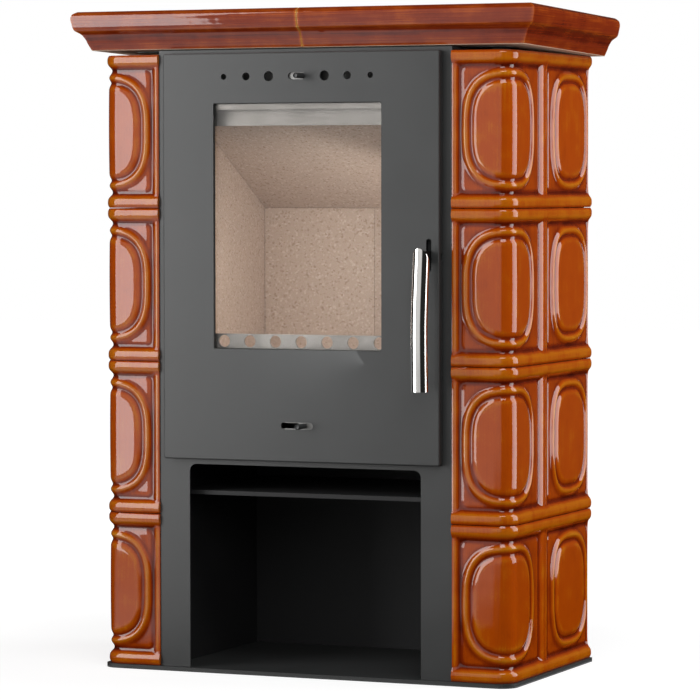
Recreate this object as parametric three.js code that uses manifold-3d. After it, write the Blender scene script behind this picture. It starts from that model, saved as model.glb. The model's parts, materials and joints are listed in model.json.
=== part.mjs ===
// Tiled stove: a steel wood stove faced with rows of glazed tiles under a glazed cornice.
// Millimetres, +Z up, the front faces -Y. Origin: centre of the base plate's underside.
// Inside the assembly group, y = 0 is the face of the front frame and y grows towards the back.
import * as THREE from "three";
import { mergeVertices } from "three/addons/utils/BufferGeometryUtils.js";
import Module from "manifold-3d";

const wasm = await Module();
wasm.setup();

// ---------------------------------------------------------------- driving dimensions
const SEAT = 0.3; // clearance between two pieces that rest on or against each other

// Tile columns
const ROWS = 4;
const ROW_PITCH = 220;
const ROW_JOINT = 0.8; // open joint between two rows
const COLUMN_WIDTH = 84; // frame edge to the tile's ground face, seen from the front
const COLUMN_SETBACK = 1; // tile's ground face behind the frame's face
const CORNER_RADIUS = 22; // ground face of the corner tile
const CORNER_TILE_REACH = 139.8; // frame face to the joint with the side tile
const SIDE_TILE_WIDTH = 183.5;
const TILE_JOINT = 0.6; // upright joint between corner tile and side tile
const TILE_THICKNESS = 28;

// Tile relief: heights above the ground face
const RING_HALF_WIDTH = 76;
const RING_HALF_HEIGHT = 83;
const RING_WIDTH = 11;
const RING_HEIGHT = 5;
const CUSHION_HEIGHT = 5.5;
const OVAL_POWER = 2.6; // 2 is an ellipse, higher is squarer
const CORNER_RING_START = 15; // frame edge to the ring on the corner tile
const SIDE_RING_START = 27; // joint to the ring on the side tile

// Base plate and front frame
const BASE_THICKNESS = 6;
const BASE_MARGIN = 8; // beyond the tiles' ground face at the sides
const BASE_FRONT_LIP = 8;
const BASE_REAR_LIP = 4.1;
const BASE_CORNER_RADIUS = 24;
const FRAME_WIDTH = 452;
const FRAME_SHEET = 3;
const FRAME_FLANGE = 25;
const FRAME_TOP_FLANGE = 16;
const FRAME_OVER_TILES = 5; // frame's top edge above the tile stack
const NICHE_WIDTH = 358;
const NICHE_TOP = 299.5;
const NICHE_RADIUS = 10;

// Carcass
const PANEL_SHEET = 2;
const PANEL_INSET = 8.5; // side panel's outer face inside the frame's edge
const NICHE_DEPTH = 310;
const NICHE_SHEET = 1.5;
const SHIELD_HEIGHT = 260; // heat shield's top face above the floor
const SHIELD_FRONT = 22;
const SHIELD_LIP = 6;
const VENT_COUNT = 8; // convection slots in each row of the back panel
const VENT_PITCH = 52;
const VENT_WIDTH = 10;
const VENT_HEIGHT = 90;
const VENT_MARGIN = 60; // from the panel's lower and upper ends

// Door
const DOOR_SIDE_MARGIN = 13; // frame seen beside the door
const DOOR_BOTTOM = 307;
const DOOR_TOP_MARGIN = 5; // frame seen above the door
const DOOR_STANDOFF = 15; // door's face in front of the frame's face
const DOOR_SHEET = 3;
const DOOR_EDGE_CHAMFER = 2;
const DOOR_REAR_GAP = 2.5; // door's rear edge to the frame's face
const PATTERN_X = -4; // centre line of the window, the air holes and the slots
const WINDOW_WIDTH = 259;
const WINDOW_BOTTOM = 466;
const WINDOW_TOP = 815;
const GLASS_THICKNESS = 4;
const GLASS_OVERLAP = 12;
const GLASS_SEAL = 1.4;
const STRIP_SHEET = 1.5;
const STRIP_SHOW = 9; // upper glass strip seen below the window's top edge

// Air controls
const UPPER_AIR_DROP = 33.6; // air holes below the door's upper edge
const UPPER_SLOT_LENGTH = 26;
const UPPER_SLOT_HEIGHT = 10;
const LOWER_AIR_RISE = 51.5; // lower slot above the door's lower edge
const LOWER_SLOT_LENGTH = 49.5;
const LOWER_SLOT_HEIGHT = 10.5;
const AIR_HOLE_OFFSETS = [43, 78, 113];
const AIR_HOLE_RADII = [7.25, 5.75, 4.25];
const PIN_RADIUS = 3.8;
const PIN_REACH = 24; // in front of the door's face
const UPPER_PIN_X = 8.7; // at rest, from the pattern's centre line
const LOWER_PIN_X = 10.3;
const SLIDE_SHEET = 2;
const SLIDE_HEIGHT = 25;
const SLIDE_EDGE = 6.5; // plate left beyond the outer holes
const UPPER_SLIDE_TRAVEL = 17.5;
const LOWER_SLIDE_LEFT = 74; // ends of the lower slide either side of its pin
const LOWER_SLIDE_RIGHT = 56;
const LOWER_SLIDE_PORT = 36; // far end of its air port from the pin
const LOWER_SLIDE_PORT_HEIGHT = 8;

// Handle and latch
const LEVER_INSET = 16.1; // middle of the lever inside the door's edge
const LEVER_WIDTH = 5.8;
const LEVER_HEIGHT = 17;
const LATCH_HEIGHT = 598.5; // pivot above the floor
const LATCH_DEPTH = -7; // pivot in front of the frame's face
const SHAFT_RADIUS = 3;
const HANDLE_SLOT_WIDTH = 7.8;
const HANDLE_SLOT_BELOW = 20.5; // slot's ends from the latch pivot
const HANDLE_SLOT_ABOVE = 25.5;
const HANDLE_RADIUS = 12;
const HANDLE_WALL = 1.5;
const HANDLE_BELOW = 186; // handle's ends from the latch pivot
const HANDLE_ABOVE = 14.5;
const HANDLE_TOP_Y = -42;
const HANDLE_MIDDLE_Y = -50;
const HANDLE_BOTTOM_Y = -48;
const HANDLE_CUT_DROP = 36; // height lost across the oblique end, from front to back
const HANDLE_CAP = 2; // plate that closes the oblique end
const HOOK_OFFSET = 7.1; // hook's inner face beyond the lever's middle
const HOOK_WIDTH = 3.5;
const HOOK_REACH = 22; // behind the frame's face
const CATCH_RADIUS = 2.5;
const CATCH_DEPTH = 14;
const CATCH_RISE = 5.5; // catch pin above the latch pivot

// Hinge
const HINGE_INSET = 7; // pin's axis inside the door's edge
const HINGE_Y = -8.5;
const HINGE_PIN_RADIUS = 2.5;
const HINGE_HEIGHTS = [331, 851]; // underside of each bracket
const BRACKET_HEIGHT = 8;
const EAR_HEIGHT = 7;

// Door seal and firebox
const MOUTH_SIDE_MARGIN = 41; // door's edge to the mouth's edge
const MOUTH_MARGIN = 22; // the same above and below
const FLANGE_MARGIN = 5; // mouth edge to the door seal
const SEAL_WIDTH = 10;
const SHELL_AIR_GAP = 14.2; // between the firebox shell and a side panel
const LINING = 20;
const BACK_LINING = 25;
const FIREBOX_DEPTH = 260; // frame face to the back lining
const SHELL_SHEET = 3;
const FIREBOX_TOP_GAP = 6; // inside of the shell's top below the frame's top edge
const SHELF_HEIGHT = 425;
const HEARTH_THICKNESS = 12;
const BACK_LINING_TOP = 664.7;
const BAFFLE_THICKNESS = 22;
const BAFFLE_FRONT_Y = 45;
const BAFFLE_FRONT_Z = 786;
const SIDE_LINING_TOP = 812;
const GUARD_TOP = 487;
const GUARD_SHEET = 2;
const GUARD_HOLE_RADIUS = 8.8;
const GUARD_HOLE_PITCH = 40;
const GUARD_HOLE_COUNT = 7;
const GUARD_HOLE_DROP = 10.5; // holes' centres below the guard's top edge
const DEFLECTOR_BOTTOM = 783;
const DEFLECTOR_LIP = 14;
const GRATE_WIDTH = 200;
const GRATE_DEPTH = 130;
const GRATE_SLOTS = 7;
const ASH_PAN_WIDTH = 300;
const ASH_PAN_DEPTH = 232;
const ASH_PAN_HEIGHT = 62;
const ASH_PAN_FRONT = 40;
const ASH_PAN_SHEET = 1.5;

// Top
const TOP_SHEET = 2;
const TOP_VENT_START = 100; // frame face to the first air slot beside the flue
const TOP_VENT_PITCH = 72;
const TOP_VENT_LENGTH = 56;
const TOP_VENT_HALF = 8;
const FLUE_RADIUS = 75;
const FLUE_WALL = 2.5;
const FLUE_Y = 190;
const FLUE_TOP = 940;
const CORNICE_HEIGHT = 55;
const CORNICE_SIDE_REACH = 22.5; // cornice's foot beyond the tiles' ground face
const CORNICE_FRONT_REACH = 2; // cornice's foot in front of the frame's face
const CORNICE_REAR_REACH = 11; // cornice's rear end behind the tiles
const CORNICE_SHELF = 65; // top slab's inner edge behind the foot
const CORNICE_SOLE = 45; // flat underside's inner edge behind the foot
const CORNICE_WALL = 14;
const CORNICE_BED = 1; // sealing strip between the frame and the cornice
const CORNICE_JOINT = 0.8;

// ---------------------------------------------------------------- derived places
const stackTop = BASE_THICKNESS + ROWS * ROW_PITCH;
const frameTop = stackTop + FRAME_OVER_TILES;
const frameHalf = FRAME_WIDTH / 2;
const groundX = frameHalf + COLUMN_WIDTH;
const bodyDepth = CORNER_TILE_REACH + TILE_JOINT + SIDE_TILE_WIDTH;
const baseFront = -BASE_FRONT_LIP;
const baseRear = bodyDepth + BASE_REAR_LIP;
const floorTop = BASE_THICKNESS + SEAT;
const panelOuter = frameHalf - PANEL_INSET;
const panelInner = panelOuter - PANEL_SHEET;
const doorFace = -DOOR_STANDOFF;
const doorBack = doorFace + DOOR_SHEET;
const doorHalf = frameHalf - DOOR_SIDE_MARGIN;
const doorTop = frameTop - DOOR_TOP_MARGIN;
const upperAirHeight = doorTop - UPPER_AIR_DROP;
const lowerAirHeight = DOOR_BOTTOM + LOWER_AIR_RISE;
const leverX = doorHalf - LEVER_INSET;
const hookX = leverX + HOOK_OFFSET;
const handleTip = LATCH_HEIGHT + HANDLE_ABOVE;
const handleBottom = LATCH_HEIGHT - HANDLE_BELOW;
const hingeX = HINGE_INSET - doorHalf;
const windowHalf = WINDOW_WIDTH / 2;
const mouthHalf = doorHalf - MOUTH_SIDE_MARGIN;
const mouthBottom = DOOR_BOTTOM + MOUTH_MARGIN;
const mouthTop = doorTop - MOUTH_MARGIN;
const shellFront = FRAME_SHEET + SEAT;
const shellInside = shellFront + SHELL_SHEET;
const shellOuter = panelInner - SHELL_AIR_GAP;
const shellInner = shellOuter - SHELL_SHEET;
const liningHalf = shellInner - SEAT - LINING;
const shellRearInner = FIREBOX_DEPTH + BACK_LINING + SEAT;
const fireboxTop = frameTop - FIREBOX_TOP_GAP;
const shellTop = fireboxTop + SHELL_SHEET;
const shelfTop = SHELF_HEIGHT + SHELL_SHEET;
const hearthTop = shelfTop + SEAT + HEARTH_THICKNESS;
const sealInner = mouthHalf + FLANGE_MARGIN;
const sealOuter = sealInner + SEAL_WIDTH;
const innerFrameOuter = sealOuter + 2;
const frameOpening = innerFrameOuter + 1;
const innerFrameRear = doorBack + SEAT + 4;
const glassFront = doorBack + SEAT + GLASS_SEAL + SEAT;
const glassRear = glassFront + GLASS_THICKNESS;
const topPlateBottom = frameTop + SEAT;
const topPlateTop = topPlateBottom + TOP_SHEET;
const tileTop = stackTop - ROW_JOINT + SEAT;
const corniceBottom = frameTop + CORNICE_BED + 3 * SEAT;
const corniceFootX = groundX + CORNICE_SIDE_REACH;
const corniceRear = bodyDepth + CORNICE_REAR_REACH;
// The cornice rests on the frame in front and on the lower tiles behind, so it slopes backwards.
const corniceTilt = Math.atan2(
  corniceBottom - tileTop - SEAT,
  bodyDepth + CORNICE_FRONT_REACH,
);

// ---------------------------------------------------------------- materials
const surface = (color, roughness, metalness = 0) =>
  new THREE.MeshStandardMaterial({ color, roughness, metalness });
const amberGlaze = surface(0xb4570f, 0.12);
const darkGlaze = surface(0x6d2a12, 0.12);
const mattPaint = surface(0x595a5a, 0.6);
const blackPaint = surface(0x1c1c1c, 0.8);
const plainSteel = surface(0xa9a9a6, 0.4, 0.8);
const polishedSteel = surface(0xcfcfcd, 0.15, 1);
const castIron = surface(0x3a3a3a, 0.75);
const vermiculite = surface(0xcbb597, 0.95);
const sealRope = surface(0x1a1a1a, 0.95);
const paneGlass = new THREE.MeshStandardMaterial({
  color: 0xdfe5e4,
  roughness: 0.05,
  transparent: true,
  opacity: 0.3,
});

// ---------------------------------------------------------------- solids
// A closed geometry as a solid that can be joined and cut.
function toSolid(geometry) {
  const bare = geometry.index ? geometry.toNonIndexed() : geometry.clone();
  bare.deleteAttribute("normal");
  bare.deleteAttribute("uv");
  const merged = mergeVertices(bare, 1e-4);
  return new wasm.Manifold(
    new wasm.Mesh({
      numProp: 3,
      vertProperties: merged.attributes.position.array,
      triVerts: new Uint32Array(merged.index.array),
    }),
  );
}

function toGeometry(solid) {
  const mesh = solid.getMesh();
  const geometry = new THREE.BufferGeometry();
  geometry.setAttribute(
    "position",
    new THREE.BufferAttribute(new Float32Array(mesh.vertProperties), 3),
  );
  geometry.setIndex(new THREE.BufferAttribute(new Uint32Array(mesh.triVerts), 1));
  geometry.computeVertexNormals();
  return geometry;
}

function join(...geometries) {
  let solid = toSolid(geometries[0]);
  for (const geometry of geometries.slice(1)) solid = solid.add(toSolid(geometry));
  return toGeometry(solid);
}

function cut(geometry, ...tools) {
  let solid = toSolid(geometry);
  for (const tool of tools) solid = solid.subtract(toSolid(tool));
  return toGeometry(solid);
}

function block(x0, x1, y0, y1, z0, z1) {
  const geometry = new THREE.BoxGeometry(x1 - x0, y1 - y0, z1 - z0);
  return geometry.translate((x0 + x1) / 2, (y0 + y1) / 2, (z0 + z1) / 2);
}

// Round bar along one axis, from a to b, centred on the other two coordinates (in x, y, z order).
function bar(axis, radius, a, b, u, v, sides = 16) {
  const geometry = new THREE.CylinderGeometry(radius, radius, b - a, sides);
  const middle = (a + b) / 2;
  if (axis === "x") return geometry.rotateZ(-Math.PI / 2).translate(middle, u, v);
  if (axis === "y") return geometry.translate(u, middle, v);
  return geometry.rotateX(Math.PI / 2).translate(u, v, middle);
}

function circle(cx, cy, radius, sides = 16) {
  const points = [];
  for (let i = 0; i < sides; i++) {
    const angle = (2 * Math.PI * i) / sides;
    points.push(
      new THREE.Vector2(cx + radius * Math.cos(angle), cy + radius * Math.sin(angle)),
    );
  }
  return points;
}

// Rectangle with rounded corners, anticlockwise from the lower left. radii: one value, or one per
// corner in the order lower left, lower right, upper right, upper left.
function rounded(x0, x1, y0, y1, radii, steps = 3) {
  const [a, b, c, d] = Array.isArray(radii) ? radii : [radii, radii, radii, radii];
  const corners = [
    [x0 + a, y0 + a, a, Math.PI],
    [x1 - b, y0 + b, b, 1.5 * Math.PI],
    [x1 - c, y1 - c, c, 0],
    [x0 + d, y1 - d, d, 0.5 * Math.PI],
  ];
  const points = [];
  for (const [cx, cy, radius, start] of corners) {
    const last = radius > 0 ? steps : 0;
    for (let i = 0; i <= last; i++) {
      const angle = start + (last ? (i / last) * 0.5 * Math.PI : 0);
      points.push(
        new THREE.Vector2(cx + radius * Math.cos(angle), cy + radius * Math.sin(angle)),
      );
    }
  }
  return points;
}

function extrude(outline, holes, depth) {
  const shape = new THREE.Shape(outline);
  for (const hole of holes) shape.holes.push(new THREE.Path(hole));
  return new THREE.ExtrudeGeometry(shape, { depth, steps: 1, bevelEnabled: false });
}

// Flat piece lying down: outline in x and y, from z0 to z1.
function layer(outline, holes, z0, z1) {
  return extrude(outline, holes, z1 - z0).translate(0, 0, z0);
}

// Flat piece facing the front: outline in x and z, from y0 to y1.
function sheet(outline, holes, y0, y1) {
  return extrude(outline, holes, y1 - y0)
    .rotateX(Math.PI / 2)
    .translate(0, y1, 0);
}

// Flat piece facing the side: outline in y and z, from x0 to x1.
function plate(outline, holes, x0, x1) {
  const turn = new THREE.Matrix4().makeBasis(
    new THREE.Vector3(0, 1, 0),
    new THREE.Vector3(0, 0, 1),
    new THREE.Vector3(1, 0, 0),
  );
  return extrude(outline, holes, x1 - x0)
    .applyMatrix4(turn)
    .translate(x0, 0, 0);
}

const points2 = (pairs) => pairs.map(([a, b]) => new THREE.Vector2(a, b));

// The mirror image at x = 0, with its faces turned back outwards.
function mirrored(geometry) {
  const copy = (geometry.index ? geometry.toNonIndexed() : geometry.clone()).scale(-1, 1, 1);
  const { array } = copy.attributes.position;
  for (let i = 0; i < array.length; i += 9) {
    for (let k = 0; k < 3; k++) {
      [array[i + 3 + k], array[i + 6 + k]] = [array[i + 6 + k], array[i + 3 + k]];
    }
  }
  copy.deleteAttribute("normal");
  copy.computeVertexNormals();
  return copy;
}

function fromTriangles(vertices, triangles) {
  const geometry = new THREE.BufferGeometry().setFromPoints(vertices);
  geometry.setIndex(triangles);
  geometry.computeVertexNormals();
  return geometry;
}

// ---------------------------------------------------------------- assembly
const stove = new THREE.Group();
const assembly = new THREE.Group();
assembly.position.y = -(baseFront + baseRear) / 2;
stove.add(assembly);

function add(name, geometry, material) {
  const mesh = new THREE.Mesh(geometry, material);
  mesh.name = name;
  assembly.add(mesh);
}

// ---------------------------------------------------------------- base and carcass
const baseHalf = groundX + BASE_MARGIN;
add(
  "base_plate",
  layer(
    rounded(
      -baseHalf,
      baseHalf,
      baseFront,
      baseRear,
      [BASE_CORNER_RADIUS, BASE_CORNER_RADIUS, 3, 3],
      8,
    ),
    [],
    0,
    BASE_THICKNESS,
  ),
  mattPaint,
);

// Front frame: one sheet with a gate-shaped niche below and the door's opening above.
function frontFrame() {
  const half = NICHE_WIDTH / 2;
  const gate = rounded(-half, half, floorTop, NICHE_TOP, [0, 0, NICHE_RADIUS, NICHE_RADIUS]);
  const outline = [
    new THREE.Vector2(-frameHalf, floorTop),
    gate[0],
    ...gate.slice(2).reverse(),
    gate[1],
    new THREE.Vector2(frameHalf, floorTop),
    new THREE.Vector2(frameHalf, frameTop),
    new THREE.Vector2(-frameHalf, frameTop),
  ];
  const opening = rounded(
    -frameOpening,
    frameOpening,
    mouthBottom - FLANGE_MARGIN - SEAL_WIDTH - 3,
    mouthTop + FLANGE_MARGIN + SEAL_WIDTH + 3,
    4,
    2,
  );
  const hookSlot = rounded(
    hookX - 2,
    hookX + HOOK_WIDTH + 2,
    LATCH_HEIGHT - 22,
    LATCH_HEIGHT + 14,
    2,
    2,
  );
  const face = sheet(outline, [opening, hookSlot], 0, FRAME_SHEET);
  const flange = block(
    frameHalf - FRAME_SHEET,
    frameHalf,
    FRAME_SHEET - 1,
    FRAME_SHEET + FRAME_FLANGE,
    floorTop,
    frameTop,
  );
  const topFlange = block(
    SEAT - panelInner,
    panelInner - SEAT,
    FRAME_SHEET - 1,
    FRAME_TOP_FLANGE,
    shellTop + SEAT,
    frameTop,
  );
  return join(face, flange, mirrored(flange), topFlange);
}
add("front_frame", frontFrame(), mattPaint);

const sidePanel = block(
  panelInner,
  panelOuter,
  FRAME_SHEET + SEAT,
  bodyDepth,
  floorTop,
  frameTop - SEAT,
);
add("side_panel_right", sidePanel, blackPaint);
add("side_panel_left", mirrored(sidePanel), blackPaint);

const betweenPanels = panelInner - SEAT;
add(
  "niche_back",
  block(
    -betweenPanels,
    betweenPanels,
    NICHE_DEPTH,
    NICHE_DEPTH + NICHE_SHEET,
    floorTop,
    mouthBottom,
  ),
  blackPaint,
);
add(
  "heat_shield",
  join(
    block(
      -betweenPanels,
      betweenPanels,
      SHIELD_FRONT,
      NICHE_DEPTH - SEAT,
      SHIELD_HEIGHT - PANEL_SHEET,
      SHIELD_HEIGHT,
    ),
    block(
      -betweenPanels,
      betweenPanels,
      SHIELD_FRONT,
      SHIELD_FRONT + PANEL_SHEET,
      SHIELD_HEIGHT - SHIELD_LIP,
      SHIELD_HEIGHT - 1,
    ),
  ),
  blackPaint,
);

// Back panel with two rows of upright convection slots.
function backPanel() {
  const half = groundX - 6;
  const slotHalf = VENT_WIDTH / 2;
  const slots = [];
  for (const z of [BASE_THICKNESS + VENT_MARGIN, stackTop - VENT_MARGIN - VENT_HEIGHT]) {
    for (let i = 0; i < VENT_COUNT; i++) {
      const x = (i - (VENT_COUNT - 1) / 2) * VENT_PITCH;
      slots.push(
        rounded(x - slotHalf, x + slotHalf, z, z + VENT_HEIGHT, slotHalf - 0.1, 2),
      );
    }
  }
  return sheet(
    rounded(-half, half, BASE_THICKNESS + 8, stackTop - 2, 6, 2),
    slots,
    bodyDepth + SEAT,
    bodyDepth + SEAT + PANEL_SHEET,
  );
}
add("back_panel", backPanel(), blackPaint);

// Upright Z-shaped rails that carry the tiles on the side panels.
const railOuter = groundX - TILE_THICKNESS - SEAT;
const railInner = panelOuter + SEAT;
const RAIL_FLANGE = 24;
function tileRail(y) {
  return layer(
    points2([
      [railInner, y - RAIL_FLANGE],
      [railInner + PANEL_SHEET, y - RAIL_FLANGE],
      [railInner + PANEL_SHEET, y],
      [railOuter, y],
      [railOuter, y + RAIL_FLANGE],
      [railOuter - PANEL_SHEET, y + RAIL_FLANGE],
      [railOuter - PANEL_SHEET, y + PANEL_SHEET],
      [railInner, y + PANEL_SHEET],
    ]),
    [],
    floorTop,
    stackTop - SEAT,
  );
}
const frontRail = tileRail(CORNER_TILE_REACH - RAIL_FLANGE * 2);
const rearRail = tileRail(bodyDepth - RAIL_FLANGE * 2);
add("tile_rail_front_right", frontRail, plainSteel);
add("tile_rail_rear_right", rearRail, plainSteel);
add("tile_rail_front_left", mirrored(frontRail), plainSteel);
add("tile_rail_rear_left", mirrored(rearRail), plainSteel);

// ---------------------------------------------------------------- tiles
// Each edge of a tile is a moulding, given as [distance from the edge, height above the ground].
const BEAD = [
  [0, 2],
  [5, 6.8],
  [13, 6.8],
  [18.5, 0],
];
const NARROW_BAND = [
  [0, 3],
  [2.5, 5],
  [7, 5],
  [9.5, 0],
];
const BROAD_BAR = [
  [0, 4.5],
  [3, 5.5],
  [25, 5.5],
  [33, 0],
];
const SLIM_BAR = [
  [0, 4.5],
  [3, 5.5],
  [9, 5.5],
  [14, 0],
];
const CUT_EDGE = [
  [0, 2],
  [1, 2],
  [2, 1],
  [3.5, 0],
];
const tileHeight = ROW_PITCH - ROW_JOINT;

// One loop round the tile, anticlockwise from the lower left, following the mouldings' level.
function mouldingLoop(tile, level) {
  const [inset, beadHeight] = BEAD[level];
  const [left, leftHeight] = tile.left[level];
  const [right, rightHeight] = tile.right[level];
  const x0 = left;
  const x1 = tile.width - right;
  const z0 = inset;
  const z1 = tileHeight - inset;
  const loop = [];
  for (let i = 0; i < tile.columns; i++) {
    loop.push([x0 + ((x1 - x0) * i) / tile.columns, z0, beadHeight]);
  }
  for (let i = 0; i < tile.rows; i++) {
    loop.push([x1, z0 + ((z1 - z0) * i) / tile.rows, i ? rightHeight : beadHeight]);
  }
  for (let i = 0; i < tile.columns; i++) {
    loop.push([x1 - ((x1 - x0) * i) / tile.columns, z1, beadHeight]);
  }
  for (let i = 0; i < tile.rows; i++) {
    loop.push([x0, z1 - ((z1 - z0) * i) / tile.rows, i ? leftHeight : beadHeight]);
  }
  return loop;
}

// An oval loop that runs beside the outermost loop, point for point.
function ovalLoop(tile, outer, halfWidth, halfHeight, height) {
  const middle = tileHeight / 2;
  return outer.map(([x, z]) => {
    const c = (2 * x) / tile.width - 1;
    const s = (2 * z) / tileHeight - 1;
    const power = Math.abs(c) ** OVAL_POWER + Math.abs(s) ** OVAL_POWER;
    const reach = power ** (-1 / OVAL_POWER);
    return [tile.ringCentre + halfWidth * reach * c, middle + halfHeight * reach * s, height];
  });
}

// A tile as a closed solid: back, mouldings, raised ring and a cushion that swells inside it.
// place(s, t, h) takes the distance along the face, the height and the relief to x, y, z.
function tileGeometry(tile, place) {
  const outer = mouldingLoop(tile, 0);
  const back = outer.map(([x, z]) => [x, z, -TILE_THICKNESS]);
  const crestWidth = RING_HALF_WIDTH - RING_WIDTH / 2;
  const crestHeight = RING_HALF_HEIGHT - RING_WIDTH / 2;
  const footWidth = RING_HALF_WIDTH - RING_WIDTH;
  const footHeight = RING_HALF_HEIGHT - RING_WIDTH;
  const loops = [
    back,
    outer,
    mouldingLoop(tile, 1),
    mouldingLoop(tile, 2),
    mouldingLoop(tile, 3),
    ovalLoop(tile, outer, RING_HALF_WIDTH, RING_HALF_HEIGHT, 0),
    ovalLoop(tile, outer, crestWidth, crestHeight, RING_HEIGHT),
    ovalLoop(tile, outer, footWidth, footHeight, 0),
  ];
  for (const share of tile.cushionLoops) {
    const swell = CUSHION_HEIGHT * (1 - share ** 3);
    loops.push(ovalLoop(tile, outer, footWidth * share, footHeight * share, swell));
  }
  const vertices = loops.flat().map(([x, z, h]) => place(x, z, h));
  vertices.push(place(tile.ringCentre, tileHeight / 2, CUSHION_HEIGHT));

  const count = outer.length;
  const next = (i) => (i + 1) % count;
  const triangles = [];
  for (let level = 0; level + 1 < loops.length; level++) {
    const a = level * count;
    const b = a + count;
    for (let i = 0; i < count; i++) {
      triangles.push(a + i, a + next(i), b + next(i));
      triangles.push(a + i, b + next(i), b + i);
    }
  }
  const last = (loops.length - 1) * count;
  for (let i = 0; i < count; i++) triangles.push(last + i, last + next(i), last + count);

  const { columns, rows } = tile;
  const above = (i) => 2 * columns + rows - i;
  for (let i = 1; i < columns - 1; i++) {
    triangles.push(i, above(i + 1), i + 1);
    triangles.push(i, above(i), above(i + 1));
  }
  triangles.push(1, above(0), above(1));
  triangles.push(columns - 1, above(columns - 1), above(columns));
  for (let i = 0; i < rows; i++) {
    triangles.push(1, (above(0) + i + 1) % count, above(0) + i);
    triangles.push(columns - 1, columns + i + 1, columns + i);
  }
  return fromTriangles(vertices, triangles);
}

const cornerFlat = COLUMN_WIDTH - SEAT - CORNER_RADIUS;
const cornerArc = (Math.PI / 2) * CORNER_RADIUS;
const cornerCentreY = COLUMN_SETBACK + CORNER_RADIUS;
const cornerTile = {
  width: cornerFlat + cornerArc + CORNER_TILE_REACH - cornerCentreY,
  ringCentre: CORNER_RING_START + RING_HALF_WIDTH,
  left: NARROW_BAND,
  right: BROAD_BAR,
  columns: 9,
  rows: 5,
  cushionLoops: [0.75, 0.4],
};
const sideTile = {
  width: SIDE_TILE_WIDTH,
  ringCentre: SIDE_RING_START + RING_HALF_WIDTH,
  left: SLIM_BAR,
  right: CUT_EDGE,
  columns: 6,
  rows: 5,
  cushionLoops: [0.7],
};

// Round the corner: flat front, quarter turn, flat side.
function onCorner(s, t, h) {
  const startX = frameHalf + SEAT;
  if (s <= cornerFlat) return new THREE.Vector3(startX + s, COLUMN_SETBACK - h, t);
  const angle = Math.min((s - cornerFlat) / CORNER_RADIUS, Math.PI / 2);
  const beyond = Math.max(0, s - cornerFlat - cornerArc);
  return new THREE.Vector3(
    groundX - CORNER_RADIUS + (CORNER_RADIUS + h) * Math.sin(angle),
    cornerCentreY - (CORNER_RADIUS + h) * Math.cos(angle) + beyond,
    t,
  );
}

function onSide(s, t, h) {
  return new THREE.Vector3(groundX + h, CORNER_TILE_REACH + TILE_JOINT + s, t);
}

const cornerShape = tileGeometry(cornerTile, onCorner);
const sideShape = tileGeometry(sideTile, onSide);
for (let row = 0; row < ROWS; row++) {
  const z = floorTop + row * ROW_PITCH;
  const corner = cornerShape.clone().translate(0, 0, z);
  const side = sideShape.clone().translate(0, 0, z);
  add(`corner_tile_right_${row + 1}`, corner, amberGlaze);
  add(`side_tile_right_${row + 1}`, side, amberGlaze);
  add(`corner_tile_left_${row + 1}`, mirrored(corner), amberGlaze);
  add(`side_tile_left_${row + 1}`, mirrored(side), amberGlaze);
}

// ---------------------------------------------------------------- top and cornice
function topPlate() {
  const half = corniceFootX - CORNICE_SOLE - 2;
  const hole = circle(0, FLUE_Y, FLUE_RADIUS + 3, 24);
  const vents = [];
  for (const side of [-1, 1]) {
    for (let i = 0; i < 3; i++) {
      const y = TOP_VENT_START + i * TOP_VENT_PITCH;
      const x = (side * (panelOuter + groundX - TILE_THICKNESS)) / 2;
      const left = x - TOP_VENT_HALF;
      const right = x + TOP_VENT_HALF;
      vents.push(rounded(left, right, y, y + TOP_VENT_LENGTH, TOP_VENT_HALF - 0.1, 2));
    }
  }
  return layer(
    rounded(-half, half, CORNICE_SOLE + 1, bodyDepth + PANEL_SHEET, 3, 2),
    [hole, ...vents],
    topPlateBottom,
    topPlateTop,
  );
}
add("top_plate", topPlate(), plainSteel);

const collarOuter = circle(0, FLUE_Y, FLUE_RADIUS, 24);
const collarInner = circle(0, FLUE_Y, FLUE_RADIUS - FLUE_WALL, 24);
const collarBottom = shellTop + SEAT;
const COLLAR_FLANGE = 20;
add(
  "flue_collar",
  join(
    layer(collarOuter, [collarInner], collarBottom, FLUE_TOP),
    layer(
      circle(0, FLUE_Y, FLUE_RADIUS + COLLAR_FLANGE, 24),
      [collarInner],
      collarBottom,
      collarBottom + FLUE_WALL,
    ),
  ),
  castIron,
);

// Cornice moulding as [reach beyond the foot, height above the foot], from the foot to the top.
const CORNICE_FACE = [
  [0, 0],
  [4.7, 10],
  [6.6, 15],
  [11.4, 22.5],
  [18.5, 27.4],
  [20.8, 31.5],
  [22.4, 38.5],
  [23.4, 44.8],
  [21.6, 51],
  [15.8, CORNICE_HEIGHT],
];
const corniceSection = points2([
  ...CORNICE_FACE,
  [-CORNICE_SHELF, CORNICE_HEIGHT],
  [-CORNICE_SHELF, CORNICE_HEIGHT - CORNICE_WALL],
  [-CORNICE_WALL, CORNICE_HEIGHT - CORNICE_WALL],
  [-CORNICE_WALL, CORNICE_WALL],
  [-CORNICE_SOLE, CORNICE_WALL],
  [-CORNICE_SOLE, 0],
]);

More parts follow.
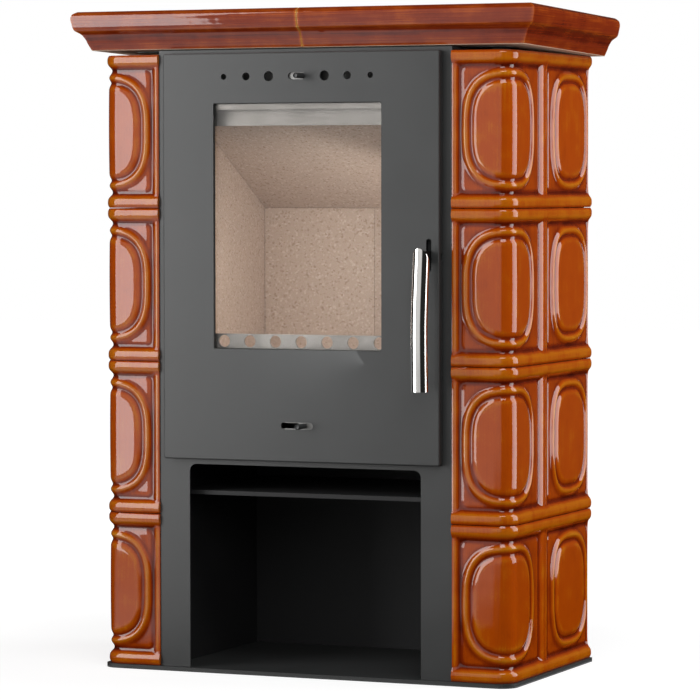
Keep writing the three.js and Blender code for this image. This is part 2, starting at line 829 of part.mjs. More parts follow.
// One half of the cornice: along the front from the joint, round the mitre, back to the rear end.
function corniceHalf() {
  const stations = [
    (reach, z) => new THREE.Vector3(CORNICE_JOINT / 2, -CORNICE_FRONT_REACH - reach, z),
    (reach, z) => new THREE.Vector3(corniceFootX + reach, -CORNICE_FRONT_REACH - reach, z),
    (reach, z) => new THREE.Vector3(corniceFootX + reach, corniceRear, z),
  ];
  const count = corniceSection.length;
  const vertices = stations.flatMap((station) =>
    corniceSection.map(({ x, y }) => station(x, y)),
  );
  const triangles = [];
  for (let k = 0; k + 1 < stations.length; k++) {
    for (let i = 0; i < count; i++) {
      const a = k * count + i;
      const b = k * count + ((i + 1) % count);
      triangles.push(a, a + count, b + count, a, b + count, b);
    }
  }
  const end = (stations.length - 1) * count;
  for (const [a, b, c] of THREE.ShapeUtils.triangulateShape(corniceSection, [])) {
    triangles.push(a, b, c);
    triangles.push(end + a, end + c, end + b);
  }
  return fromTriangles(vertices, triangles)
    .translate(0, CORNICE_FRONT_REACH, 0)
    .rotateX(-corniceTilt)
    .translate(0, -CORNICE_FRONT_REACH, corniceBottom);
}
add("cornice_right", corniceHalf(), darkGlaze);
add("cornice_left", mirrored(corniceHalf()), darkGlaze);
add(
  "cornice_bed",
  block(
    2 - frameHalf,
    frameHalf - 2,
    0.5,
    FRAME_TOP_FLANGE - 2,
    frameTop + SEAT,
    frameTop + SEAT + CORNICE_BED,
  ),
  sealRope,
);

// ---------------------------------------------------------------- firebox
function fireboxShell() {
  const boxBottom = mouthBottom - SHELL_SHEET;
  const flange = block(
    -shellOuter,
    shellOuter,
    shellFront,
    shellInside,
    mouthBottom - FLANGE_MARGIN - SEAL_WIDTH - 10,
    shellTop,
  );
  const walls = block(
    -shellOuter,
    shellOuter,
    shellFront,
    shellRearInner + SHELL_SHEET,
    boxBottom,
    shellTop,
  );
  const lower = block(
    -shellInner,
    shellInner,
    shellInside,
    shellRearInner,
    mouthBottom,
    SHELF_HEIGHT,
  );
  const upper = block(
    -shellInner,
    shellInner,
    shellInside,
    shellRearInner,
    shelfTop,
    fireboxTop,
  );
  const mouth = (z0, z1) =>
    block(-mouthHalf, mouthHalf, shellFront - 1, shellInside + 1, z0, z1);
  const grateY = grateCentreY;
  const ashHole = block(
    10 - GRATE_WIDTH / 2,
    GRATE_WIDTH / 2 - 10,
    grateY - GRATE_DEPTH / 2 + 10,
    grateY + GRATE_DEPTH / 2 - 10,
    SHELF_HEIGHT - 1,
    shelfTop + 1,
  );
  const flueHole = bar(
    "z",
    FLUE_RADIUS - FLUE_WALL,
    fireboxTop - 1,
    shellTop + 1,
    0,
    FLUE_Y,
    24,
  );
  return cut(join(flange, walls), lower, upper, mouth(mouthBottom, mouthTop), ashHole, flueHole);
}
const grateCentreY = (shellInside + FIREBOX_DEPTH) / 2;
add("firebox_shell", fireboxShell(), blackPaint);

const liningFront = shellInside + 2 * SEAT + GUARD_SHEET + 2;
const liningInset = liningHalf - SEAT;
const sideLining = block(
  liningHalf,
  liningHalf + LINING,
  liningFront,
  FIREBOX_DEPTH + BACK_LINING,
  shelfTop + SEAT,
  SIDE_LINING_TOP,
);
add("side_lining_right", sideLining, vermiculite);
add("side_lining_left", mirrored(sideLining), vermiculite);
const backLining = block(
  SEAT / 2,
  liningInset,
  FIREBOX_DEPTH,
  FIREBOX_DEPTH + BACK_LINING,
  shelfTop + SEAT,
  BACK_LINING_TOP,
);
add("back_lining_right", backLining, vermiculite);
add("back_lining_left", mirrored(backLining), vermiculite);

// Sloping baffle board: it rests on the back linings and rises towards the door.
function baffleBoard() {
  const run = FIREBOX_DEPTH - BAFFLE_FRONT_Y;
  const rearZ = BACK_LINING_TOP + SEAT;
  const rise = BAFFLE_FRONT_Z - rearZ;
  const length = Math.hypot(run, rise);
  const frontY = BAFFLE_FRONT_Y + (BAFFLE_THICKNESS * rise) / length;
  const frontZ = BAFFLE_FRONT_Z + (BAFFLE_THICKNESS * run) / length;
  const rearY = FIREBOX_DEPTH + BACK_LINING;
  const section = points2([
    [BAFFLE_FRONT_Y, BAFFLE_FRONT_Z],
    [FIREBOX_DEPTH, rearZ],
    [rearY, rearZ],
    [rearY, frontZ - ((rearY - frontY) * rise) / run],
    [frontY, frontZ],
  ]);
  return plate(section, [], -liningInset, liningInset);
}
add("baffle_board", baffleBoard(), vermiculite);

const grateHalfX = GRATE_WIDTH / 2;
const grateHalfY = GRATE_DEPTH / 2;
add(
  "hearth_slab",
  layer(
    rounded(-liningInset, liningInset, liningFront, FIREBOX_DEPTH - SEAT, 0),
    [
      rounded(
        -grateHalfX - SEAT,
        grateHalfX + SEAT,
        grateCentreY - grateHalfY - SEAT,
        grateCentreY + grateHalfY + SEAT,
        0,
      ),
    ],
    shelfTop + SEAT,
    hearthTop,
  ),
  vermiculite,
);

function grate() {
  const slots = [];
  for (let i = 0; i < GRATE_SLOTS; i++) {
    const x = (i - (GRATE_SLOTS - 1) / 2) * ((GRATE_WIDTH - 24) / GRATE_SLOTS);
    slots.push(
      rounded(
        x - 6,
        x + 6,
        grateCentreY - grateHalfY + 14,
        grateCentreY + grateHalfY - 14,
        5.9,
        2,
      ),
    );
  }
  return layer(
    rounded(
      -grateHalfX,
      grateHalfX,
      grateCentreY - grateHalfY,
      grateCentreY + grateHalfY,
      4,
      2,
    ),
    slots,
    shelfTop + SEAT,
    hearthTop + 1,
  );
}
add("grate", grate(), castIron);

// Log guard: an upright strip behind the glass with a row of round holes.
const guardFront = shellInside + SEAT;
function logGuard() {
  const half = liningInset - 4;
  const holes = [];
  for (let i = 0; i < GUARD_HOLE_COUNT; i++) {
    const x = PATTERN_X - 2 + (i - (GUARD_HOLE_COUNT - 1) / 2) * GUARD_HOLE_PITCH;
    holes.push(circle(x, GUARD_TOP - GUARD_HOLE_DROP, GUARD_HOLE_RADIUS, 14));
  }
  return sheet(
    rounded(-half, half, shelfTop + SEAT, GUARD_TOP, [0, 0, 2, 2], 2),
    holes,
    guardFront,
    guardFront + GUARD_SHEET,
  );
}
add("log_guard", logGuard(), plainSteel);

add(
  "air_deflector",
  join(
    block(
      -liningInset,
      liningInset,
      guardFront,
      guardFront + GUARD_SHEET,
      DEFLECTOR_BOTTOM,
      fireboxTop - SEAT,
    ),
    block(
      -liningInset,
      liningInset,
      guardFront + 1,
      guardFront + DEFLECTOR_LIP,
      fireboxTop - SEAT - GUARD_SHEET,
      fireboxTop - SEAT,
    ),
  ),
  plainSteel,
);

// Ash pan: an open tray with a pull at its front.
function ashPan() {
  const half = ASH_PAN_WIDTH / 2;
  const bottom = mouthBottom + SEAT;
  const top = bottom + ASH_PAN_HEIGHT;
  const rear = ASH_PAN_FRONT + ASH_PAN_DEPTH;
  const tray = cut(
    block(-half, half, ASH_PAN_FRONT, rear, bottom, top),
    block(
      -half + ASH_PAN_SHEET,
      half - ASH_PAN_SHEET,
      ASH_PAN_FRONT + ASH_PAN_SHEET,
      rear - ASH_PAN_SHEET,
      bottom + ASH_PAN_SHEET,
      top + 1,
    ),
  );
  const pull = sheet(
    rounded(-40, 40, top - 30, top - 8, 5, 2),
    [rounded(-32, 32, top - 24, top - 14, 3, 2)],
    ASH_PAN_FRONT - 22,
    ASH_PAN_FRONT - 19,
  );
  const stem = block(-40, -34, ASH_PAN_FRONT - 20, ASH_PAN_FRONT + 1, top - 24, top - 14);
  return join(tray, pull, stem, mirrored(stem));
}
add("ash_pan", ashPan(), plainSteel);

// ---------------------------------------------------------------- hinge and catch on the carcass
// The arm has a round head and leaves the turning door's edge room on its left.
const EAR_HALF = 3.5;
HINGE_HEIGHTS.forEach((z, i) => {
  const head = HINGE_PIN_RADIUS + 0.6;
  const arm = join(
    bar("z", head, z, z + BRACKET_HEIGHT, hingeX, HINGE_Y, 16),
    block(hingeX - 0.4, hingeX + head, HINGE_Y, -SEAT, z, z + BRACKET_HEIGHT),
  );
  const pin = bar(
    "z",
    HINGE_PIN_RADIUS,
    z + BRACKET_HEIGHT - 1,
    z + BRACKET_HEIGHT + EAR_HEIGHT + 4,
    hingeX,
    HINGE_Y,
    12,
  );
  add(i ? "hinge_bracket_upper" : "hinge_bracket_lower", join(arm, pin), plainSteel);
});

const catchHeight = LATCH_HEIGHT + CATCH_RISE;
const catchBlockInner = hookX + HOOK_WIDTH + 1.5;
add(
  "latch_catch",
  join(
    block(
      catchBlockInner,
      betweenPanels,
      CATCH_DEPTH - 7,
      CATCH_DEPTH + 7,
      catchHeight - 7,
      catchHeight + 7,
    ),
    bar("x", CATCH_RADIUS, hookX - 1, catchBlockInner + 1, CATCH_DEPTH, catchHeight, 12),
  ),
  plainSteel,
);

// ---------------------------------------------------------------- door
// A tray with chamfered front edges, hinge ears at the left and bearings for the latch shaft.
function doorPanel() {
  const chamfer = DOOR_EDGE_CHAMFER;
  const outline = rounded(
    chamfer - doorHalf,
    doorHalf - chamfer,
    DOOR_BOTTOM + chamfer,
    doorTop - chamfer,
    1,
    1,
  );
  const rear = -DOOR_REAR_GAP;
  const slab = new THREE.ExtrudeGeometry(new THREE.Shape(outline), {
    depth: DOOR_STANDOFF,
    steps: 1,
    bevelEnabled: true,
    bevelThickness: chamfer,
    bevelSize: chamfer,
    bevelSegments: 2,
  })
    .rotateX(Math.PI / 2)
    .translate(0, DOOR_STANDOFF + doorFace + chamfer, 0);
  const wide = doorHalf + 10;
  const behind = block(-wide, wide, rear, 20, DOOR_BOTTOM - 10, doorTop + 10);
  const hollow = block(
    DOOR_SHEET - doorHalf,
    doorHalf - DOOR_SHEET,
    doorBack,
    20,
    DOOR_BOTTOM + DOOR_SHEET,
    doorTop - DOOR_SHEET,
  );
  // The left edge is shallower, so that it clears the frame as the door turns.
  const leftRelief = block(
    -wide,
    DOOR_SHEET - doorHalf + 0.5,
    rear - 1.5,
    20,
    DOOR_BOTTOM - 10,
    doorTop + 10,
  );
  const throughDoor = (outlinePoints) => sheet(outlinePoints, [], doorFace - 5, doorBack + 5);
  const openings = [
    rounded(
      PATTERN_X - windowHalf,
      PATTERN_X + windowHalf,
      WINDOW_BOTTOM,
      WINDOW_TOP,
      2,
      2,
    ),
    slot(UPPER_SLOT_LENGTH, UPPER_SLOT_HEIGHT, upperAirHeight),
    slot(LOWER_SLOT_LENGTH, LOWER_SLOT_HEIGHT, lowerAirHeight),
    rounded(
      leverX - HANDLE_SLOT_WIDTH / 2,
      leverX + HANDLE_SLOT_WIDTH / 2,
      LATCH_HEIGHT - HANDLE_SLOT_BELOW,
      LATCH_HEIGHT + HANDLE_SLOT_ABOVE,
      HANDLE_SLOT_WIDTH / 2 - 0.05,
      4,
    ),
    ...airHoles(),
  ].map(throughDoor);
  const notches = HINGE_HEIGHTS.map((z) =>
    block(
      -wide,
      DOOR_SHEET - doorHalf + 1,
      doorBack,
      20,
      z - 2,
      z + BRACKET_HEIGHT + 2,
    ),
  );
  const hookNotch = block(
    doorHalf - DOOR_SHEET - 1,
    wide,
    doorBack + 3,
    20,
    LATCH_HEIGHT - 5,
    LATCH_HEIGHT + 5,
  );
  const tray = cut(slab, behind, hollow, leftRelief, ...openings, ...notches, hookNotch);

  const ears = HINGE_HEIGHTS.map((z) =>
    cut(
      block(
        hingeX - EAR_HALF,
        hingeX + 3 * EAR_HALF,
        doorBack - 1,
        HINGE_Y + EAR_HALF,
        z + BRACKET_HEIGHT + SEAT,
        z + BRACKET_HEIGHT + SEAT + EAR_HEIGHT,
      ),
      bar(
        "z",
        HINGE_PIN_RADIUS + SEAT,
        z,
        z + BRACKET_HEIGHT + EAR_HEIGHT + 10,
        hingeX,
        HINGE_Y,
        12,
      ),
    ),
  );
  const leverHalf = LEVER_WIDTH / 2;
  const bearings = [leverX - leverHalf - 3.5, leverX + leverHalf + 1].map((x) =>
    cut(
      block(
        x,
        x + 2.5,
        doorBack - 1,
        LATCH_DEPTH + SHAFT_RADIUS + 2,
        LATCH_HEIGHT - 8,
        LATCH_HEIGHT + 8,
      ),
      bar("x", SHAFT_RADIUS + SEAT, x - 1, x + 4, LATCH_DEPTH, LATCH_HEIGHT, 12),
    ),
  );
  return join(tray, ...ears, ...bearings);
}

function slot(length, height, z) {
  return rounded(
    PATTERN_X - length / 2,
    PATTERN_X + length / 2,
    z - height / 2,
    z + height / 2,
    height / 2 - 0.05,
    4,
  );
}

function airHoles(spare = 0) {
  return AIR_HOLE_OFFSETS.flatMap((offset, i) =>
    [-1, 1].map((side) =>
      circle(PATTERN_X + side * offset, upperAirHeight, AIR_HOLE_RADII[i] + spare, 16),
    ),
  );
}
add("door_panel", doorPanel(), mattPaint);

// Ring behind the door's sheet that carries the rope seal.
const ringOutline = (outer) =>
  rounded(
    -outer,
    outer,
    mouthBottom - (outer - mouthHalf),
    mouthTop + (outer - mouthHalf),
    8,
    2,
  );
add(
  "door_inner_frame",
  sheet(
    ringOutline(innerFrameOuter),
    [ringOutline(mouthHalf + 2)],
    doorBack + SEAT,
    innerFrameRear,
  ),
  mattPaint,
);
add(
  "door_seal",
  sheet(ringOutline(sealOuter), [ringOutline(sealInner)], innerFrameRear + SEAT, shellFront - SEAT),
  sealRope,
);

const paneOutline = (overlap) =>
  rounded(
    PATTERN_X - windowHalf - overlap,
    PATTERN_X + windowHalf + overlap,
    WINDOW_BOTTOM - overlap,
    WINDOW_TOP + overlap,
    3,
    2,
  );
add(
  "glass_seal",
  sheet(paneOutline(GLASS_OVERLAP), [paneOutline(-1)], doorBack + SEAT, glassFront - SEAT),
  sealRope,
);
add("door_glass", sheet(paneOutline(GLASS_OVERLAP + 1), [], glassFront, glassRear), paneGlass);

function glassStrip(z0, z1) {
  const half = windowHalf + GLASS_OVERLAP + 4;
  return sheet(
    rounded(PATTERN_X - half, PATTERN_X + half, z0, z1, 2, 2),
    [],
    glassRear + SEAT,
    glassRear + SEAT + STRIP_SHEET,
  );
}
add(
  "glass_strip_upper",
  glassStrip(WINDOW_TOP - STRIP_SHOW, WINDOW_TOP + GLASS_OVERLAP + 6),
  plainSteel,
);
add(
  "glass_strip_lower",
  glassStrip(WINDOW_BOTTOM - GLASS_OVERLAP - 12, WINDOW_BOTTOM - 2),
  plainSteel,
);

// Air slides: each is a plate behind the door's sheet with a pin through the slot.
function upperSlide() {
  const slideLeft = PATTERN_X - AIR_HOLE_OFFSETS[2] - AIR_HOLE_RADII[2] - SLIDE_EDGE;
  const slideRight =
    PATTERN_X + AIR_HOLE_OFFSETS[2] + AIR_HOLE_RADII[2] + UPPER_SLIDE_TRAVEL + SLIDE_EDGE;
  const middle = upperAirHeight - 1.5;
  return sheet(
    rounded(slideLeft, slideRight, middle - SLIDE_HEIGHT / 2, middle + SLIDE_HEIGHT / 2, 2, 2),
    airHoles(),
    doorBack + SEAT,
    doorBack + SEAT + SLIDE_SHEET,
  );
}
add("upper_air_slide", upperSlide(), plainSteel);

function lowerSlide() {
  const x = PATTERN_X + LOWER_PIN_X;
  return sheet(
    rounded(
      x - LOWER_SLIDE_LEFT,
      x + LOWER_SLIDE_RIGHT,
      lowerAirHeight - SLIDE_HEIGHT / 2,
      lowerAirHeight + SLIDE_HEIGHT / 2,
      2,
      2,
    ),
    [
      rounded(
        x - LOWER_SLIDE_PORT,
        x - PIN_RADIUS - 3,
        lowerAirHeight - LOWER_SLIDE_PORT_HEIGHT / 2,
        lowerAirHeight + LOWER_SLIDE_PORT_HEIGHT / 2,
        LOWER_SLIDE_PORT_HEIGHT / 2 - 0.1,
        3,
      ),
    ],
    doorBack + SEAT,
    doorBack + SEAT + SLIDE_SHEET,
  );
}
add("lower_air_slide", lowerSlide(), plainSteel);

// A turned pin with a rounded edge and a dimple in its tip, lying along y.
function airPin(x, z) {
  const reach = PIN_REACH + DOOR_SHEET;
  const profile = points2([
    [0, 0],
    [PIN_RADIUS, 0],
    [PIN_RADIUS, reach - 0.8],
    [PIN_RADIUS - 0.8, reach],
    [PIN_RADIUS - 1.6, reach],
    [0, reach - 1],
  ]);
  return new THREE.LatheGeometry(profile, 16)
    .rotateX(Math.PI)
    .translate(x, doorBack, z);
}
add("upper_air_pin", airPin(PATTERN_X + UPPER_PIN_X, upperAirHeight), mattPaint);
add("lower_air_pin", airPin(PATTERN_X + LOWER_PIN_X, lowerAirHeight), mattPaint);

// Depth of the handle's oblique end at height z, on the handle's centre line.
const handleCutSlope = Math.atan2(HANDLE_CUT_DROP, 2 * HANDLE_RADIUS);
function handleEndY(z) {
  return HANDLE_TOP_Y - HANDLE_RADIUS + (handleTip - z) / Math.tan(handleCutSlope);
}

// Latch: lever, shaft and hook in one piece. The hook passes under the catch pin.
function latchLever() {
  const z = LATCH_HEIGHT;
  const half = LEVER_HEIGHT / 2;
  const rear = rounded(HANDLE_TOP_Y, LATCH_DEPTH + 3.5, z - half, z + half, [0, 6, 6, 0], 3);
  const outline = rear.filter((point) => point.x > HANDLE_TOP_Y);
  // The front end lies along the handle's oblique end.
  outline.push(new THREE.Vector2(handleEndY(z + half) + 2 * SEAT, z + half));
  outline.unshift(new THREE.Vector2(handleEndY(z - half) + 2 * SEAT, z - half));
  const lever = plate(outline, [], leverX - LEVER_WIDTH / 2, leverX + LEVER_WIDTH / 2);
  const shaft = bar(
    "x",
    SHAFT_RADIUS,
    leverX - LEVER_WIDTH / 2 - 3.5,
    hookX + HOOK_WIDTH + 1,
    LATCH_DEPTH,
    z,
    12,
  );
  const armTop = z + CATCH_RISE - CATCH_RADIUS - 0.7;
  const clawFront = CATCH_DEPTH + CATCH_RADIUS + 0.8;
  const hook = plate(
    points2([
      [LATCH_DEPTH - 3.2, z - 3.2],
      [LATCH_DEPTH, z - 4],
      [HOOK_REACH - 2, z - 4],
      [HOOK_REACH, z - 2],
      [HOOK_REACH, z + CATCH_RISE + 1.5],
      [clawFront, z + CATCH_RISE + 2.5],
      [clawFront, armTop],
      [0, armTop],
      [LATCH_DEPTH, z + 4.2],
      [LATCH_DEPTH - 3.2, z + 2.5],
    ]),
    [],
    hookX,
    hookX + HOOK_WIDTH,
  );
  return join(lever, shaft, hook);
}
add("latch_lever", latchLever(), castIron);

// Handle: a bowed tube, cut obliquely at its top and closed there by a thin plate. The tube is
// swept a little past both ends and then cut to length.
function handleTube() {
  const spare = 4;
  const reach = 8 * HANDLE_RADIUS;
  const path = new THREE.CatmullRomCurve3([
    new THREE.Vector3(leverX, HANDLE_TOP_Y + 1, handleTip + spare),
    new THREE.Vector3(leverX, HANDLE_TOP_Y, LATCH_HEIGHT),
    new THREE.Vector3(leverX, HANDLE_MIDDLE_Y, (LATCH_HEIGHT + handleBottom) / 2),
    new THREE.Vector3(leverX, HANDLE_BOTTOM_Y, handleBottom - spare),
  ]);
  const swept = (radius, cap) => {
    const body = new THREE.ExtrudeGeometry(new THREE.Shape(circle(0, 0, radius, 18)), {
      steps: 9,
      extrudePath: path,
      bevelEnabled: false,
    });
    const knife = new THREE.BoxGeometry(reach, reach, reach)
      .translate(0, 0, reach / 2 - cap)
      .rotateX(-handleCutSlope)
      .translate(leverX, HANDLE_TOP_Y, handleTip - HANDLE_CUT_DROP / 2);
    return cut(body, knife);
  };
  const below = new THREE.BoxGeometry(reach, reach, reach).translate(
    leverX,
    HANDLE_BOTTOM_Y,
    handleBottom - reach / 2,
  );
  const tube = cut(swept(HANDLE_RADIUS, 0), below);
  return cut(tube, swept(HANDLE_RADIUS - HANDLE_WALL, HANDLE_CAP));
}
add("handle_tube", handleTube(), polishedSteel);

export default stove;
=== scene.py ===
"""Looks of a tiled stove: glazed relief tiles, a glazed cornice, a painted steel front with a
pane and a polished handle, lit softly on a pale floor.

Sizes are in millimetres, except those of the studio and its lamps, which are in metres."""

from __future__ import annotations

import json
import logging
import math
from dataclasses import dataclass, field
from enum import Enum

import bmesh
import bpy
import numpy as np
from mathutils import Matrix, Vector


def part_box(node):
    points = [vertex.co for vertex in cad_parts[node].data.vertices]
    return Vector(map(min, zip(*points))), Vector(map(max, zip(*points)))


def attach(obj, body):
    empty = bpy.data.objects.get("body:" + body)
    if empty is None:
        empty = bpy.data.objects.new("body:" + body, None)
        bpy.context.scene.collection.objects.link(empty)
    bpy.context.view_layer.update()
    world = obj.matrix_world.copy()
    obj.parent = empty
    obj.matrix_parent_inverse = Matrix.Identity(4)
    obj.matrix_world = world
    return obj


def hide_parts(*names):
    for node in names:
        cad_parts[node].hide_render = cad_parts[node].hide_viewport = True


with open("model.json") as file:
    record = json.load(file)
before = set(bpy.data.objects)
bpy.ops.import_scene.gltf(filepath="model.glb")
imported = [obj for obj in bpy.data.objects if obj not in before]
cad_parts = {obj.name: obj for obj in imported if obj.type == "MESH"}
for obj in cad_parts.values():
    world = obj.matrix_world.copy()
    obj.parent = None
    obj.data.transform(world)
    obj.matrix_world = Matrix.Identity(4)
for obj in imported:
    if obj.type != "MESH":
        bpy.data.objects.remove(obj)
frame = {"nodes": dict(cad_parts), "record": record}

LOG = logging.getLogger("tiled_stove")
MM = 0.001  # metres in a millimetre
FRAME_FACE_Y = -160.0  # depth of the front frame's face
FLOOR_TOP = 6.3  # underside of the lowest tile row
ROW_PITCH = 220.0
ROWS = 4
CREASE = math.radians(38.0)  # faces that meet more steeply than this keep a hard edge
# Along the cornice's mitre the glaze_pool value is raised partly as a painted highlight, besides
# the thin glaze on the arris.
POOL = "glaze_pool"  # 0 where glaze pools, 0.5 on a plain face, 1 where it has run thin
BARE = "glaze_bare"  # 1 where the clay has no glaze


# ------------------------------------------------------------------------- shared helpers
def linear(code: str) -> tuple[float, float, float, float]:
    """Turns an sRGB hex colour into Blender's linear colour.

    Args:
        code: Colour such as "#b4570f".

    Returns:
        Red, green, blue and an alpha of 1.
    """
    values = [int(code[i : i + 2], 16) / 255 for i in (1, 3, 5)]
    red, green, blue = (
        v / 12.92 if v <= 0.04045 else ((v + 0.055) / 1.055) ** 2.4 for v in values
    )
    return red, green, blue, 1.0


def place(x: float, y: float, z: float) -> Vector:
    """Turns a point measured from the frame's face into metres in the model's frame.

    Args:
        x: Distance to the right of the centre line.
        y: Depth behind the frame's face.
        z: Height above the floor.

    Returns:
        The point in metres.
    """
    return Vector((x, y + FRAME_FACE_Y, z)) * MM


def add_node(tree, kind: str, inputs: dict | None = None, **settings):
    """Adds one shader node with its settings, values and links.

    Args:
        tree: Node tree that takes the node.
        kind: Blender's name of the node type, without its common start.
        inputs: Value, output socket or node for each input. Of a node, the first output counts.
        settings: Properties of the node itself.

    Returns:
        The new node.
    """
    node = tree.nodes.new(f"ShaderNode{kind}")
    for key, value in settings.items():
        setattr(node, key, value)
    for key, value in (inputs or {}).items():
        if isinstance(value, bpy.types.Node):
            value = value.outputs[0]
        if isinstance(value, bpy.types.NodeSocket):
            tree.links.new(value, node.inputs[key])
        else:
            node.inputs[key].default_value = value
    return node


def new_material(name: str) -> tuple[bpy.types.Material, bpy.types.NodeTree]:
    """Makes an empty material.

    Args:
        name: The material's name.

    Returns:
        The material and its node tree.
    """
    material = bpy.data.materials.new(name)
    material.use_nodes = True
    material.node_tree.nodes.clear()
    return material, material.node_tree


def new_staging(mesh: bpy.types.Mesh, material: bpy.types.Material) -> bpy.types.Object:
    """Puts a mesh that is no part of the stove into the scene.

    Args:
        mesh: Mesh in metres.
        material: Its material.

    Returns:
        The new object, named after the mesh.
    """
    mesh.materials.append(material)
    holder = bpy.data.objects.new(mesh.name, mesh)
    bpy.context.scene.collection.objects.link(holder)
    return holder


def fill_ramp(node, stops: list[tuple[float, str]]) -> None:
    """Gives a colour ramp its stops.

    Args:
        node: The ramp node.
        stops: Position and hex colour of each stop, in rising order.
    """
    ramp = node.color_ramp
    while len(ramp.elements) > 1:
        ramp.elements.remove(ramp.elements[-1])
    ramp.elements[0].position, ramp.elements[0].color = stops[0][0], linear(stops[0][1])
    for position, code in stops[1:]:
        ramp.elements.new(position).color = linear(code)


def smooth_line(points: list[tuple[float, float]], steps: int) -> list[tuple[float, float]]:
    """Rounds a line of points by a Catmull-Rom curve through them.

    Args:
        points: The line's points.
        steps: Pieces that each span is split into.

    Returns:
        The points of the rounded line, its own points among them.
    """
    knots = np.array([points[0], *points, points[-1]], float)
    line = []
    for k in range(1, len(knots) - 2):
        a, b, c, d = knots[k - 1 : k + 3]
        for u in np.arange(steps) / steps:
            line.append(
                0.5
                * (
                    2 * b
                    + (c - a) * u
                    + (2 * a - 5 * b + 4 * c - d) * u**2
                    + (3 * b - a - 3 * c + d) * u**3
                )
            )
    line.append(knots[-1])
    return [(float(p[0]), float(p[1])) for p in line]


def new_piece(
    mesh: bpy.types.Mesh,
    name: str,
    material: bpy.types.Material,
    body: str,
    replaced: tuple[str, ...] = (),
) -> bpy.types.Object:
    """Puts a finished mesh into the scene as a piece of the stove.

    Args:
        mesh: Mesh in metres, already in its place.
        name: The piece's name.
        material: Its finish.
        body: Body of the model that it moves with.
        replaced: Solids of the model that it stands for.

    Returns:
        The new object.
    """
    mesh.name = name
    mesh.materials.clear()
    mesh.materials.append(material)
    mesh.shade_smooth()
    mesh.set_sharp_from_angle(angle=CREASE)
    piece = bpy.data.objects.new(name, mesh)
    bpy.context.scene.collection.objects.link(piece)
    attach(piece, body)
    if replaced:
        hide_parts(*replaced)
    LOG.info("%s: %d faces on %s", name, len(mesh.polygons), body)
    return piece


def mesh_of(shape: bmesh.types.BMesh) -> bpy.types.Mesh:
    """Turns a bmesh into a mesh in metres and frees the bmesh.

    Args:
        shape: Shape in millimetres, measured from the frame's face.

    Returns:
        The mesh, in the model's frame.
    """
    mesh = bpy.data.meshes.new("shape")
    shape.to_mesh(mesh)
    shape.free()
    mesh.transform(Matrix.Translation(place(0, 0, 0)) @ Matrix.Scale(MM, 4))
    return mesh


def mirrored(mesh: bpy.types.Mesh) -> bpy.types.Mesh:
    """Copies a mesh to the other side of the stove's centre plane.

    Args:
        mesh: The right-hand mesh.

    Returns:
        The left-hand mesh.
    """
    twin = mesh.copy()
    twin.transform(Matrix.Diagonal((-1, 1, 1, 1)))
    twin.flip_normals()
    return twin


def spun(profile: list[tuple[float, float]], axis: Vector, centre: Vector, steps: int):
    """Turns a profile round an axis into a closed shape.

    Args:
        profile: Radius and place along the axis of each point.
        axis: Unit vector of the axis.
        centre: A point on the axis, from which the places are counted.
        steps: Segments of a full turn.

    Returns:
        The turned shape as a bmesh.
    """
    side = axis.orthogonal().normalized()
    shape = bmesh.new()
    verts = [shape.verts.new(centre + side * r + axis * a) for r, a in profile]
    edges = [shape.edges.new(pair) for pair in zip(verts, verts[1:])]
    if min(profile[0][0], profile[-1][0]) > 0:
        edges.append(shape.edges.new((verts[-1], verts[0])))
    bmesh.ops.spin(
        shape,
        geom=verts + edges,
        cent=centre,
        axis=axis,
        dvec=Vector((0, 0, 0)),
        angle=2 * math.pi,
        steps=steps,
        use_merge=True,
        use_duplicate=False,
    )
    bmesh.ops.remove_doubles(shape, verts=shape.verts[:], dist=0.001)
    bmesh.ops.recalc_face_normals(shape, faces=shape.faces[:])
    return shape


# ------------------------------------------------------------------------------- finishes
class Flow(Enum):
    """How far the marks of the running glaze are drawn out, along a piece and up it."""

    DOWN = (1.0, 0.03)
    ALONG = (0.014, 1.0)


